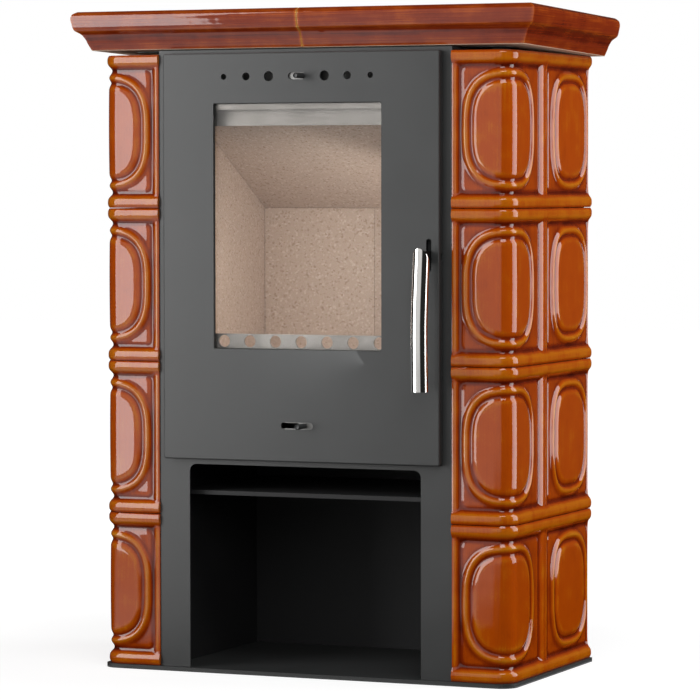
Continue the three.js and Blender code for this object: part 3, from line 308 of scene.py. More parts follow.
@dataclass(frozen=True)
class StoveGlaze:
    """Transparent coloured glaze over moulded clay, fired glossy. The colour is pale where the melt
    ran off a ridge, deep where it stood in a groove, and the skin is slightly wavy."""

    name: str
    stops: tuple[tuple[float, str], ...]
    clay: str
    roughness: float = 0.05
    wave: float = 26.0  # spacing of the glaze's soft waves
    wave_height: float = 0.22
    cloud: float = 34.0  # spacing of the colour's clouds
    cloud_share: float = 0.16  # how far a cloud moves the colour along the ramp
    flow: Flow = Flow.DOWN
    streak: float = 3.0  # width of the marks that the melt left as it ran
    streak_share: float = 0.1
    grain: float = 1.6  # pinholes and specks in the glaze
    speck_share: float = 0.04

    def streaks(self, tree, where: bpy.types.NodeSocket) -> bpy.types.NodeSocket:
        """Adds the marks that the melt left as it ran down a face or along a moulding.

        Args:
            tree: Node tree that takes the nodes.
            where: Socket of the object coordinates.

        Returns:
            Socket with the marks, round one half.
        """
        axes = add_node(tree, "SeparateXYZ", {"Vector": where})
        aside = add_node(tree, "Math", {0: axes.outputs["X"]}, operation="ABSOLUTE")
        along = add_node(tree, "Math", {0: aside, 1: axes.outputs["Y"]}, operation="ADD")
        drawn = add_node(tree, "Math", {0: along, 1: self.flow.value[0]}, operation="MULTIPLY")
        level = add_node(
            tree, "Math", {0: axes.outputs["Z"], 1: self.flow.value[1]}, operation="MULTIPLY"
        )
        spot = add_node(tree, "CombineXYZ", {"X": drawn, "Z": level})
        marks = add_node(tree, "TexNoise", {
            "Vector": spot, "Scale": 1 / (self.streak * MM), "Detail": 3.0, "Roughness": 0.6,
        })
        return marks.outputs["Fac"]

    def build(self) -> bpy.types.Material:
        """Builds the glaze's material."""
        material, tree = new_material(self.name)
        where = add_node(tree, "TexCoord").outputs["Object"]
        pool = add_node(tree, "Attribute", attribute_name=POOL).outputs["Fac"]
        bare = add_node(tree, "Attribute", attribute_name=BARE).outputs["Fac"]
        clouds = add_node(tree, "TexNoise", {
            "Vector": where, "Scale": 1 / (self.cloud * MM), "Detail": 3.0, "Roughness": 0.5,
        })
        specks = add_node(
            tree, "TexNoise", {"Vector": where, "Scale": 1 / (self.grain * MM), "Detail": 2.0}
        )
        level = pool
        for marks, share in (
            (clouds.outputs["Fac"], self.cloud_share),
            (specks.outputs["Fac"], self.speck_share),
            (self.streaks(tree, where), self.streak_share),
        ):
            moved = add_node(tree, "MapRange", {
                "Value": marks, "From Min": 0.3, "From Max": 0.7, "To Min": -share / 2,
                "To Max": share / 2,
            })
            level = add_node(tree, "Math", {0: level, 1: moved}, operation="ADD").outputs[0]
        ramp = add_node(tree, "ValToRGB", {"Fac": level})
        ramp.color_ramp.interpolation = "EASE"
        fill_ramp(ramp, list(self.stops))
        edge = add_node(tree, "MapRange", {
            "Value": bare, "From Min": 0.25, "From Max": 0.4,
        }, interpolation_type="SMOOTHSTEP")
        clay = add_node(tree, "MixRGB", {
            "Fac": specks, "Color1": linear(self.clay), "Color2": linear("#b98c6a"),
        })
        colour = add_node(tree, "MixRGB", {"Fac": edge, "Color1": ramp, "Color2": clay})
        gloss = add_node(
            tree, "MapRange", {"Value": edge, "To Min": self.roughness, "To Max": 0.9}
        )
        waves = add_node(tree, "TexNoise", {
            "Vector": where, "Scale": 1 / (self.wave * MM), "Detail": 1.5, "Roughness": 0.45,
        })
        skin = add_node(
            tree, "Bump", {"Height": waves, "Strength": 1.0, "Distance": self.wave_height * MM}
        )
        shader = add_node(tree, "BsdfPrincipled", {
            "Base Color": colour, "Roughness": gloss, "Normal": skin, "IOR": 1.52,
        })
        add_node(tree, "OutputMaterial", {"Surface": shader})
        return material


@dataclass(frozen=True)
class StovePaint:
    """Sprayed heat-resistant silicone paint on sheet steel. It gives a matt grey skin with a fine
    grain and a faint cloudiness, and no mirror."""

    name: str
    colour: str
    cloud_colour: str
    roughness: float = 0.55
    cloud: float = 60.0
    grain: float = 0.9
    grain_height: float = 0.03

    def build(self) -> bpy.types.Material:
        """Builds the paint's material."""
        material, tree = new_material(self.name)
        where = add_node(tree, "TexCoord").outputs["Object"]
        clouds = add_node(
            tree, "TexNoise", {"Vector": where, "Scale": 1 / (self.cloud * MM), "Detail": 4.0}
        )
        colour = add_node(tree, "MixRGB", {
            "Fac": clouds, "Color1": linear(self.colour), "Color2": linear(self.cloud_colour),
        })
        grain = add_node(
            tree, "TexNoise", {"Vector": where, "Scale": 1 / (self.grain * MM), "Detail": 2.0}
        )
        skin = add_node(
            tree, "Bump", {"Height": grain, "Strength": 1.0, "Distance": self.grain_height * MM}
        )
        gloss = add_node(tree, "MapRange", {
            "Value": clouds, "To Min": self.roughness - 0.05, "To Max": self.roughness + 0.05,
        })
        shader = add_node(tree, "BsdfPrincipled", {
            "Base Color": colour, "Roughness": gloss, "Normal": skin, "IOR": 1.5,
        })
        add_node(tree, "OutputMaterial", {"Surface": shader})
        return material


class Run(Enum):
    """Direction of the fine lines that working leaves in a metal."""

    ACROSS = (0.04, 1.0, 1.0)
    UPRIGHT = (1.0, 1.0, 0.04)
    NONE = (1.0, 1.0, 1.0)


@dataclass(frozen=True)
class WorkedMetal:
    """Bare metal as rolled, polished or cast. It gives a tinted mirror, blurred along the lines
    that rolling or polishing left, or broken by a cast skin."""

    name: str
    colour: str
    shade_colour: str
    roughness: float
    run: Run
    line: float = 0.8  # spacing of the lines, or size of the cast grain
    line_height: float = 0.01
    metallic: float = 1.0
    stain: float = 45.0

    def build(self) -> bpy.types.Material:
        """Builds the metal's material."""
        material, tree = new_material(self.name)
        where = add_node(tree, "TexCoord").outputs["Object"]
        stretched = add_node(tree, "Mapping", {"Vector": where, "Scale": self.run.value})
        lines = add_node(
            tree, "TexNoise", {"Vector": stretched, "Scale": 1 / (self.line * MM), "Detail": 2.0}
        )
        stains = add_node(
            tree, "TexNoise", {"Vector": where, "Scale": 1 / (self.stain * MM), "Detail": 4.0}
        )
        colour = add_node(tree, "MixRGB", {
            "Fac": stains, "Color1": linear(self.colour), "Color2": linear(self.shade_colour),
        })
        gloss = add_node(tree, "MapRange", {
            "Value": stains, "From Min": 0.3, "From Max": 0.7, "To Min": self.roughness * 0.85,
            "To Max": self.roughness * 1.15,
        })
        skin = add_node(
            tree, "Bump", {"Height": lines, "Strength": 1.0, "Distance": self.line_height * MM}
        )
        shader = add_node(tree, "BsdfPrincipled", {
            "Base Color": colour, "Roughness": gloss, "Normal": skin, "Metallic": self.metallic,
        })
        add_node(tree, "OutputMaterial", {"Surface": shader})
        return material


@dataclass(frozen=True)
class PressedBoard:
    """Pressed vermiculite board. Its flakes give a beige face with pale and brown flecks and a
    dry, slightly open skin."""

    name: str = "pressed_vermiculite"
    colour: str = "#cab5a4"
    pale: str = "#dccdbf"
    brown: str = "#ae9580"
    fleck: float = 2.6
    speck: float = 1.3

    def build(self) -> bpy.types.Material:
        """Builds the board's material."""
        material, tree = new_material(self.name)
        where = add_node(tree, "TexCoord").outputs["Object"]
        flakes = add_node(tree, "TexVoronoi", {
            "Vector": where, "Scale": 1 / (self.fleck * MM), "Randomness": 1.0,
        })
        tone = add_node(tree, "SeparateColor", {"Color": flakes.outputs["Color"]})
        ramp = add_node(tree, "ValToRGB", {"Fac": tone.outputs["Red"]})
        ramp.color_ramp.interpolation = "LINEAR"
        fill_ramp(
            ramp, [(0.0, self.brown), (0.16, self.colour), (0.8, self.colour), (1.0, self.pale)]
        )
        specks = add_node(
            tree, "TexNoise", {"Vector": where, "Scale": 1 / (self.speck * MM), "Detail": 3.0}
        )
        colour = add_node(tree, "MixRGB", {
            "Fac": 0.25, "Color1": ramp, "Color2": specks.outputs["Color"],
        }, blend_type="SOFT_LIGHT")
        skin = add_node(tree, "Bump", {"Height": specks, "Strength": 1.0, "Distance": 0.25 * MM})
        shader = add_node(
            tree, "BsdfPrincipled", {"Base Color": colour, "Roughness": 0.9, "Normal": skin}
        )
        add_node(tree, "OutputMaterial", {"Surface": shader})
        return material


@dataclass(frozen=True)
class WovenRope:
    """Black woven glass-fibre seal. It gives a dull dark band with slanted strands."""

    name: str = "woven_glass_fibre"
    colour: str = "#1b1b1b"
    strand_colour: str = "#3a3a38"
    strand: float = 2.5

    def build(self) -> bpy.types.Material:
        """Builds the rope's material."""
        material, tree = new_material(self.name)
        where = add_node(tree, "TexCoord").outputs["Object"]
        strands = add_node(tree, "TexWave", {
            "Vector": where, "Scale": 2 * math.pi / 20 / (self.strand * MM), "Distortion": 1.5,
            "Detail": 2.0,
        }, bands_direction="DIAGONAL")
        colour = add_node(tree, "MixRGB", {
            "Fac": strands.outputs["Fac"], "Color1": linear(self.colour),
            "Color2": linear(self.strand_colour),
        })
        skin = add_node(
            tree, "Bump", {"Height": strands.outputs["Fac"], "Strength": 1.0, "Distance": 0.3 * MM}
        )
        shader = add_node(
            tree, "BsdfPrincipled", {"Base Color": colour, "Roughness": 0.95, "Normal": skin}
        )
        add_node(tree, "OutputMaterial", {"Surface": shader})
        return material


@dataclass(frozen=True)
class ClearPane:
    """Polished glass ceramic. It gives a clear pane with a mirror that grows towards its edge on
    view, and lets the room's light into the firebox."""

    name: str = "clear_glass_ceramic"
    colour: str = "#f4f1ee"
    smear: float = 90.0

    def build(self) -> bpy.types.Material:
        """Builds the pane's material."""
        material, tree = new_material(self.name)
        where = add_node(tree, "TexCoord").outputs["Object"]
        smears = add_node(
            tree, "TexNoise", {"Vector": where, "Scale": 1 / (self.smear * MM), "Detail": 3.0}
        )
        gloss = add_node(tree, "MapRange", {"Value": smears, "To Min": 0.0, "To Max": 0.03})
        glass = add_node(tree, "BsdfPrincipled", {
            "Base Color": linear(self.colour), "Roughness": gloss, "IOR": 1.5,
            "Transmission Weight": 1.0,
        })
        clear = add_node(tree, "BsdfTransparent", {"Color": linear(self.colour)})
        rays = add_node(tree, "LightPath")
        passing = add_node(tree, "Math", {
            0: rays.outputs["Is Shadow Ray"], 1: rays.outputs["Is Diffuse Ray"],
        }, operation="MAXIMUM")
        shader = add_node(tree, "MixShader", {"Fac": passing, 1: glass, 2: clear})
        add_node(tree, "OutputMaterial", {"Surface": shader})
        return material


@dataclass(frozen=True)
class JointMortar:
    """Fired-look joint filler between the cornice's halves. It gives a golden sandy line."""

    name: str = "golden_joint_mortar"
    colour: str = "#c98a35"
    sand: str = "#8d5a22"

    def build(self) -> bpy.types.Material:
        """Builds the mortar's material."""
        material, tree = new_material(self.name)
        where = add_node(tree, "TexCoord").outputs["Object"]
        sand = add_node(tree, "TexNoise", {"Vector": where, "Scale": 1 / (0.8 * MM)})
        colour = add_node(tree, "MixRGB", {
            "Fac": sand, "Color1": linear(self.colour), "Color2": linear(self.sand),
        })
        shader = add_node(tree, "BsdfPrincipled", {"Base Color": colour, "Roughness": 0.7})
        add_node(tree, "OutputMaterial", {"Surface": shader})
        return material


AMBER_GLAZE = StoveGlaze(
    "amber_stove_glaze",
    (
        (0.0, "#4a0f03"),
        (0.24, "#7c2605"),
        (0.5, "#ad4705"),
        (0.66, "#bd660c"),
        (0.84, "#cc8c22"),
        (1.0, "#e6ac60"),
    ),
    clay="#a8765a",
    cloud_share=0.12,
    streak_share=0.07,
)
DARK_GLAZE = StoveGlaze(
    "dark_stove_glaze",
    (
        (0.0, "#340702"),
        (0.3, "#5c1505"),
        (0.5, "#842c0b"),
        (0.7, "#a84a12"),
        (0.86, "#c9822f"),
        (1.0, "#e6b36a"),
    ),
    clay="#cdbba8",
    flow=Flow.ALONG,
    streak=1.6,
    streak_share=0.2,
)
ANTHRACITE = StovePaint("anthracite_stove_paint", "#2f3030", "#363737", roughness=0.38)
BASE_PAINT = StovePaint("base_plate_paint", "#2f3030", "#373838", roughness=0.5)
BLACK_PAINT = StovePaint("black_heat_paint", "#1c1c1d", "#242425", roughness=0.7)
ROLLED_STEEL = WorkedMetal("rolled_steel", "#8d8d8c", "#7d7c7a", roughness=0.52, run=Run.ACROSS)
POLISHED_STEEL = WorkedMetal(
    "polished_stainless", "#e3e2e0", "#d6d5d3", roughness=0.1, run=Run.UPRIGHT, line=0.5,
    line_height=0.002,
)
CAST_IRON = WorkedMetal(
    "blackened_cast_iron", "#2e2d2c", "#1f1e1e", roughness=0.6, run=Run.NONE, line=1.4,
    line_height=0.12, metallic=0.6,
)


# --------------------------------------------------------------------------- tile columns
def band_height(distance: np.ndarray, points: tuple[tuple[float, float], ...]) -> np.ndarray:
    """Height of a straight moulding.

    Args:
        distance: Distance from the tile's edge.
        points: Distance and height of each corner of the moulding.

    Returns:
        The heights.
    """
    steps, heights = zip(*points)
    return np.interp(distance, steps, heights)


def soften(field_: np.ndarray, cells: float) -> np.ndarray:
    """Blurs a grid of values.

    Args:
        field_: The grid.
        cells: Standard deviation of the blur, in cells.

    Returns:
        The blurred grid.
    """
    reach = max(1, math.ceil(3 * cells))
    kernel = np.exp(-0.5 * (np.arange(-reach, reach + 1) / cells) ** 2)
    kernel /= kernel.sum()
    for axis in (0, 1):
        field_ = np.apply_along_axis(
            lambda line: np.convolve(np.pad(line, reach, mode="edge"), kernel, "valid"),
            axis,
            field_,
        )
    return field_


@dataclass(frozen=True)
class TileFace:
    """Pressed relief of one tile: a bead along its top and foot, a band at each side, and a
    pillowed panel with an oval ring round a cushion."""

    width: float
    ring_centre: float
    start_band: tuple[tuple[float, float], ...]
    end_band: tuple[tuple[float, float], ...]
    panel_start: float
    panel_end: float
    height: float = 219.2
    cell: float = 1.5
    bead: tuple[tuple[float, float], ...] = (
        (0.0, 3.8),
        (1.2, 5.7),
        (3.0, 6.7),
        (6.5, 7.0),
        (11.0, 6.8),
        (13.6, 5.9),
        (16.6, 3.2),
        (19.0, 1.0),
        (21.5, 0.0),
    )
    panel_margin: float = 22.0
    panel_corner: float = 10.0
    panel_rise: float = 0.6
    channel: float = 0.8
    ring_half_width: float = 70.5
    ring_half_height: float = 77.5
    ring_half: float = 8.6
    ring_rise: float = 4.8
    ring_dip: float = 0.5
    oval_power: float = 3.0
    cushion_half_width: float = 64.5
    cushion_half_height: float = 71.5
    cushion_edge: float = 11.0
    cushion_rise: float = 4.4
    cushion_crown: float = 0.7
    softening: float = 1.6
    pool_reach: float = 4.0
    thin_gain: float = 0.17
    pool_gain: float = 0.22
    ground_pool: float = 0.15  # how much deeper the glaze stands on the sunk ground

    def oval(self, x: np.ndarray, y: np.ndarray, a: float, b: float) -> np.ndarray:
        """Share of the way from the oval's centre to its edge.

        Args:
            x: Sideways distance from the centre.
            y: Upward distance from the centre.
            a: Half width of the oval.
            b: Half height of the oval.

        Returns:
            The shares, 1 on the edge.
        """
        power = self.oval_power
        return (np.abs(x / a) ** power + np.abs(y / b) ** power) ** (1 / power)

    def heights(self, s: np.ndarray, t: np.ndarray) -> np.ndarray:
        """Relief above the ground face.

        Args:
            s: Distance along the face from its starting edge.
            t: Height above the tile's foot.

        Returns:
            The relief, softened as glaze softens it.
        """
        from_end = np.minimum(t, self.height - t)
        bands = np.maximum(
            band_height(s, self.start_band), band_height(self.width - s, self.end_band)
        )
        moulding = np.maximum(band_height(from_end, self.bead), bands)
        middle = (self.panel_start + self.panel_end) / 2
        half_width = (self.panel_end - self.panel_start) / 2 - self.panel_corner
        half_height = self.height / 2 - self.panel_margin - self.panel_corner
        over_x = np.abs(s - middle) - half_width
        over_y = np.abs(t - self.height / 2) - half_height
        inside = (
            self.panel_corner
            - np.hypot(np.maximum(over_x, 0), np.maximum(over_y, 0))
            - np.minimum(np.maximum(over_x, over_y), 0)
        )
        panel = self.panel_rise * (1 - np.exp(-np.maximum(inside, 0) / 3.0))
        panel -= self.channel * np.exp(-(((inside + 1.5) / 3.2) ** 2))
        x = s - self.ring_centre
        y = t - self.height / 2
        crest = self.oval(x, y, self.ring_half_width, self.ring_half_height)
        off = np.hypot(x, y) * (1 - 1 / np.maximum(crest, 0.05)) / self.ring_half
        off = np.where(crest < 0.4, -9.0, off)
        ring = self.ring_rise * (1 + np.cos(np.pi * np.clip(off, -1, 1))) / 2
        ring -= self.ring_dip * np.clip(1 - (off / 0.42) ** 2, 0, 1)
        share = self.oval(x, y, self.cushion_half_width, self.cushion_half_height)
        inward = np.hypot(x, y) * (1 / np.maximum(share, 0.05) - 1) / self.cushion_edge
        cushion = self.cushion_rise * np.sin(np.clip(inward, 0, 1) * math.pi / 2) ** 1.2
        cushion += self.cushion_crown * np.clip(1 - share**2, 0, 1)
        relief = moulding + panel * np.clip((off + 1) / 2, 0, 1) + ring + cushion
        return soften(relief, self.softening / self.cell)

    def pooling(self, relief: np.ndarray) -> np.ndarray:
        """How far the glaze has run thin at each point.

        Args:
            relief: Grid of the relief's heights.

        Returns:
            Grid of values from 0, pooled, to 1, thin.
        """
        proud = relief - soften(relief, self.pool_reach / self.cell)
        gain = np.where(proud > 0, self.thin_gain, self.pool_gain)
        sunk = self.ground_pool * np.exp(-np.maximum(relief, 0) / 1.2)
        return np.clip(0.5 + gain * proud - sunk, 0, 1)


@dataclass(frozen=True)
class CornerBend:
    """Path of the corner tile's ground face round the stove's front corner."""

    start_x: float = 226.3
    face_y: float = 1.0
    radius: float = 22.0
    front_run: float = 61.7
    side_run: float = 116.8
    thickness: float = 28.0

    @property
    def arc(self) -> float:
        """Length of the rounded corner."""
        return self.radius * math.pi / 2

    def lines(self, cell: float) -> np.ndarray:
        """Distances along the face at which the mesh has its columns.

        Args:
            cell: Wished distance between two columns.

        Returns:
            The distances, with a column at each end of the rounded corner.
        """
        ends = np.cumsum([0, self.front_run, self.arc, self.side_run])
        parts = [
            np.linspace(a, b, max(2, round((b - a) / cell)), endpoint=False)
            for a, b in zip(ends, ends[1:])
        ]
        return np.concatenate([*parts, ends[-1:]])

    def points(self, s: np.ndarray, h: np.ndarray) -> tuple[np.ndarray, np.ndarray]:
        """Places of points on the face.

        Args:
            s: Distance along the face.
            h: Relief above it, or a negative value for the tile's back.

        Returns:
            Sideways and depth coordinates.
        """
        centre_x = self.start_x + self.front_run
        centre_y = self.face_y + self.radius
        turn = np.clip((s - self.front_run) / self.radius, 0, math.pi / 2)
        beyond = np.maximum(s - self.front_run - self.arc, 0)
        before = np.minimum(s - self.front_run, 0)
        reach = self.radius + h
        x = centre_x + before + reach * np.sin(turn)
        y = centre_y + beyond - reach * np.cos(turn)
        inner_x = centre_x + self.radius - self.thickness
        inner_y = self.face_y + self.thickness
        front = np.clip(s / self.front_run, 0, 1)
        side = beyond / self.side_run
        back_x = self.start_x + (inner_x - self.start_x) * front
        back_y = inner_y + (centre_y + self.side_run - inner_y) * side
        back = h < -0.5 * self.thickness
        return np.where(back, back_x, x), np.where(back, back_y, y)


@dataclass(frozen=True)
class SideRun:
    """Path of the side tile's ground face along the stove's side."""

    face_x: float = 310.0
    start_y: float = 140.4
    width: float = 183.5
    thickness: float = 28.0

    def lines(self, cell: float) -> np.ndarray:
        """Distances along the face at which the mesh has its columns."""
        return np.linspace(0, self.width, round(self.width / cell) + 1)

    def points(self, s: np.ndarray, h: np.ndarray) -> tuple[np.ndarray, np.ndarray]:
        """Places of points on the face, or on the tile's back where h is negative."""
        return self.face_x + h, self.start_y + s


@dataclass
class TileColumns:
    """The glazed tiles of both sides, four rows high."""

    corner_face: TileFace = field(
        default_factory=lambda: TileFace(
            width=213.06,
            ring_centre=91.0,
            start_band=((0, 2.6), (1.5, 3.5), (5.4, 3.5), (10.5, 0)),
            end_band=((0, 2.6), (1.5, 3.3), (11, 3.3), (20, 0)),
            panel_start=13.0,
            panel_end=191.0,
        )
    )
    side_face: TileFace = field(
        default_factory=lambda: TileFace(
            width=183.5,
            ring_centre=103.0,
            start_band=((0, 2.6), (1.5, 3.3), (5.0, 3.3), (11, 0)),
            end_band=((0, 2), (1, 2), (2, 1), (3.5, 0)),
            panel_start=15.5,
            panel_end=180.5,
        )
    )
    corner_path: CornerBend = field(default_factory=CornerBend)
    side_path: SideRun = field(default_factory=SideRun)

    def tile_mesh(self, face: TileFace, path: CornerBend | SideRun) -> bpy.types.Mesh:
        """Builds one right-hand tile of the lowest row.

        Args:
            face: The tile's relief.
            path: Where its ground face runs.

        Returns:
            The closed mesh, with the glaze's attributes.
        """
        columns = path.lines(face.cell)
        rows = np.linspace(0, face.height, round(face.height / face.cell) + 1)
        grid_t, grid_s = np.meshgrid(rows, columns, indexing="ij")
        relief = face.heights(grid_s, grid_t)
        pooling = face.pooling(relief)
        shape = bmesh.new()
        bmesh.ops.create_grid(
            shape, x_segments=len(columns) - 1, y_segments=len(rows) - 1, size=0.5
        )
        pool = shape.verts.layers.float.new(POOL)
        bare = shape.verts.layers.float.new(BARE)
        made = bmesh.ops.extrude_face_region(shape, geom=shape.faces[:])
        front = {v for v in made["geom"] if isinstance(v, bmesh.types.BMVert)}
        back = [v for v in shape.verts if v not in front]
        face_x, face_y = path.points(grid_s, relief)
        back_x, back_y = path.points(grid_s, np.full_like(relief, -path.thickness))
        for vert in shape.verts:
            i = round((vert.co.y + 0.5) * (len(rows) - 1))
            j = round((vert.co.x + 0.5) * (len(columns) - 1))
            if vert in front:
                vert.co = (face_x[i, j], face_y[i, j], FLOOR_TOP + rows[i])
                vert[pool] = pooling[i, j]
                vert[bare] = 0.0
            else:
                vert.co = (back_x[i, j], back_y[i, j], FLOOR_TOP + rows[i])
                vert[pool] = 0.5
                vert[bare] = 1.0
        bmesh.ops.remove_doubles(shape, verts=back, dist=0.01)
        back = [v for v in shape.verts if v[bare] > 0.5]
        back_edges = [e for e in shape.edges if all(v[bare] > 0.5 for v in e.verts)]
        bmesh.ops.dissolve_limit(
            shape, angle_limit=0.03, verts=back, edges=back_edges, use_dissolve_boundaries=False
        )
        bmesh.ops.recalc_face_normals(shape, faces=shape.faces[:])
        return mesh_of(shape)

    def build(self, material: bpy.types.Material) -> None:
        """Builds every tile and puts it on the stove.

        Args:
            material: The glaze.
        """
        shapes = {
            "corner": self.tile_mesh(self.corner_face, self.corner_path),
            "side": self.tile_mesh(self.side_face, self.side_path),
        }
        for kind, right in shapes.items():
            for side, lowest in (("right", right), ("left", mirrored(right))):
                for row in range(ROWS):
                    mesh = lowest.copy()
                    mesh.transform(Matrix.Translation((0, 0, row * ROW_PITCH * MM)))
                    new_piece(
                        mesh,
                        f"glazed_{kind}_{side}_{row + 1}",
                        material,
                        "stove",
                        (f"{kind}_tile_{side}_{row + 1}",),
                    )


# -------------------------------------------------------------------------------- cornice
@dataclass
class Cornice:
    """The moulded crown in two glazed halves, mitred at the front corners."""

    face: tuple[tuple[float, float], ...] = (
        (0.0, 0.0),
        (4.7, 10.0),
        (6.6, 15.0),
        (11.4, 22.5),
        (18.5, 27.4),
        (20.8, 31.5),
        (22.4, 38.5),
        (23.4, 44.8),
        (21.6, 51.0),
        (15.8, 55.0),
    )
    inside: tuple[tuple[float, float], ...] = (
        (-65.0, 55.0), (-65.0, 41.0), (-14.0, 41.0), (-14.0, 14.0), (-45.0, 14.0), (-45.0, 0.0)
    )
    foot_x: float = 332.5
    foot_y: float = -2.0
    rear_y: float = 334.9
    bottom: float = 892.9
    tilt: float = math.radians(1.248)
    joint_half: float = 0.4
    end_loops: tuple[float, ...] = (1.2, 2.6, 5.0)
    mitre_loops: tuple[float, ...] = (4.0, 7.0)
    steps: int = 6
    edge_round: float = 0.9
    mitre_round: float = 2.8

    def section(self) -> list[tuple[float, float]]:
        """Outline of the cornice, as reach in front of its foot and height above it."""
        return [*smooth_line(list(self.face), self.steps), *self.inside]

    def pool_at(self, height: np.ndarray) -> np.ndarray:
        """How thin the glaze has run at a height of the face.

        Args:
            height: Height above the foot.

        Returns:
            Values from 0, pooled, to 1, thin.
        """
        return np.interp(
            height,
            (0, 1.5, 5, 10, 14, 17, 21, 25, 27.5, 30, 33, 40, 46, 50, 53, 55),
            (0.6, 0.54, 0.5, 0.48, 0.42, 0.34, 0.4, 0.52)
            + (0.6, 0.52, 0.48, 0.5, 0.54, 0.57, 0.56, 0.5),
        )

    def half(self) -> bpy.types.Mesh:
        """Builds the right half, with its glaze's attributes."""
        shape = bmesh.new()
        outline = self.section()
        start = [
            shape.verts.new((self.joint_half, self.foot_y - reach, height))
            for reach, height in outline
        ]
        tip = shape.faces.new(start)
        loops = self.end_loops
        corner = self.mitre_loops
        along_front = [("x", self.joint_half + d) for d in loops]
        along_front += [("mitre", -d) for d in reversed(corner)] + [("mitre", 0.0)]
        along_side = [("turn", d) for d in corner]
        along_side += [("y", self.rear_y - d) for d in reversed(loops)] + [("y", self.rear_y)]
        ends = [tip]
        mitre_verts: list[bmesh.types.BMVert] = []
        for kind, value in along_front + along_side:
            made = bmesh.ops.extrude_face_region(shape, geom=ends)
            ends = [g for g in made["geom"] if isinstance(g, bmesh.types.BMFace)]
            verts = [g for g in made["geom"] if isinstance(g, bmesh.types.BMVert)]
            for vert in verts:
                if kind == "x":
                    vert.co.x = value
                elif kind == "mitre":
                    vert.co.x = self.foot_x + self.foot_y - vert.co.y + value
                elif kind == "turn":
                    vert.co.y = self.foot_y - (vert.co.x - self.foot_x) + value
                else:
                    vert.co.y = value
            if kind == "mitre" and value == 0:
                mitre_verts = verts
        on_mitre = set(mitre_verts)
        sharp = [e for e in shape.edges if all(v in on_mitre for v in e.verts)]
        rims = [e for f in (tip, *ends) if f.is_valid for e in f.edges]
        bmesh.ops.recalc_face_normals(shape, faces=shape.faces[:])
        for edges, offset in ((rims, self.edge_round), (sharp, self.mitre_round)):
            bmesh.ops.bevel(
                shape,
                geom=edges,
                offset=offset,
                offset_type="OFFSET",
                affect="EDGES",
                segments=4,
                profile=0.5,
                material=-1,
                clamp_overlap=True,
            )
        bmesh.ops.recalc_face_normals(shape, faces=shape.faces[:])
        self.paint(shape)
        turn = Matrix.Rotation(-self.tilt, 4, "X")
        shift = Matrix.Translation((0, self.foot_y, 0))
        lift = Matrix.Translation((0, 0, self.bottom))
        bmesh.ops.transform(
            shape, matrix=lift @ shift @ turn @ shift.inverted(), verts=shape.verts[:]
        )
        return mesh_of(shape)

    def paint(self, shape: bmesh.types.BMesh) -> None:
        """Writes the glaze's attributes on the untilted half.

        Args:
            shape: The half's bmesh.
        """
        pool = shape.verts.layers.float.new(POOL)
        bare = shape.verts.layers.float.new(BARE)
        profile = smooth_line(list(self.face), self.steps)
        reaches = [p[0] for p in profile]
        levels = [p[1] for p in profile]
        for vert in shape.verts:
            x, y, z = vert.co
            reach = max(self.foot_y - y, x - self.foot_x)
            hidden = z < 0.4 or reach < np.interp(z, levels, reaches) - 2.5 and z < 54.0
            near_joint = (x - self.joint_half) / 2.4
            # Paler towards the joint, the mitre and the rear end, where the glaze runs thin on the
            # arris. Along the mitre this paling is also a painted highlight, standing in for the
            # lamp's mirror on that edge.
            near_mitre = abs((self.foot_y - y) - (x - self.foot_x)) / 3.2 + 0.9
            near_rear = (self.rear_y - y) / 1.6
            edge = math.exp(-min(near_joint, near_mitre, near_rear))
            vert[pool] = float(min(1.0, self.pool_at(z) + 0.46 * edge))
            vert[bare] = 1.0 if hidden else 0.0

    def mortar(self) -> bpy.types.Mesh:
        """Builds the filler of the front joint."""
        shape = bmesh.new()
        half = self.joint_half - 0.05
        outline = [
            (max(reach - 0.9, -44.5) if height < 14 else reach - 0.9, height)
            for reach, height in smooth_line(list(self.face), self.steps)
        ]
        outline = [(r, min(max(h, 0.6), 54.2)) for r, h in outline]
        outline += [(-13.0, 54.2), (-13.0, 0.6)]
        verts = [shape.verts.new((-half, self.foot_y - r, h)) for r, h in outline]
        made = bmesh.ops.extrude_face_region(shape, geom=[shape.faces.new(verts)])
        moved = [g for g in made["geom"] if isinstance(g, bmesh.types.BMVert)]
        bmesh.ops.translate(shape, vec=(2 * half, 0, 0), verts=moved)
        bmesh.ops.remove_doubles(shape, verts=shape.verts[:], dist=0.005)
        bmesh.ops.recalc_face_normals(shape, faces=shape.faces[:])
        bmesh.ops.translate(shape, vec=(0, 0, self.bottom), verts=shape.verts[:])
        return mesh_of(shape)

    def build(self, glaze: bpy.types.Material, mortar: bpy.types.Material) -> None:
        """Builds both halves and the joint between them.

        Args:
            glaze: Finish of the halves.
            mortar: Finish of the joint.
        """
        right = self.half()
        left = mirrored(right)
        new_piece(right, "glazed_cornice_right", glaze, "stove", ("cornice_right",))
        new_piece(left, "glazed_cornice_left", glaze, "stove", ("cornice_left",))
        new_piece(self.mortar(), "cornice_joint_mortar", mortar, "stove")


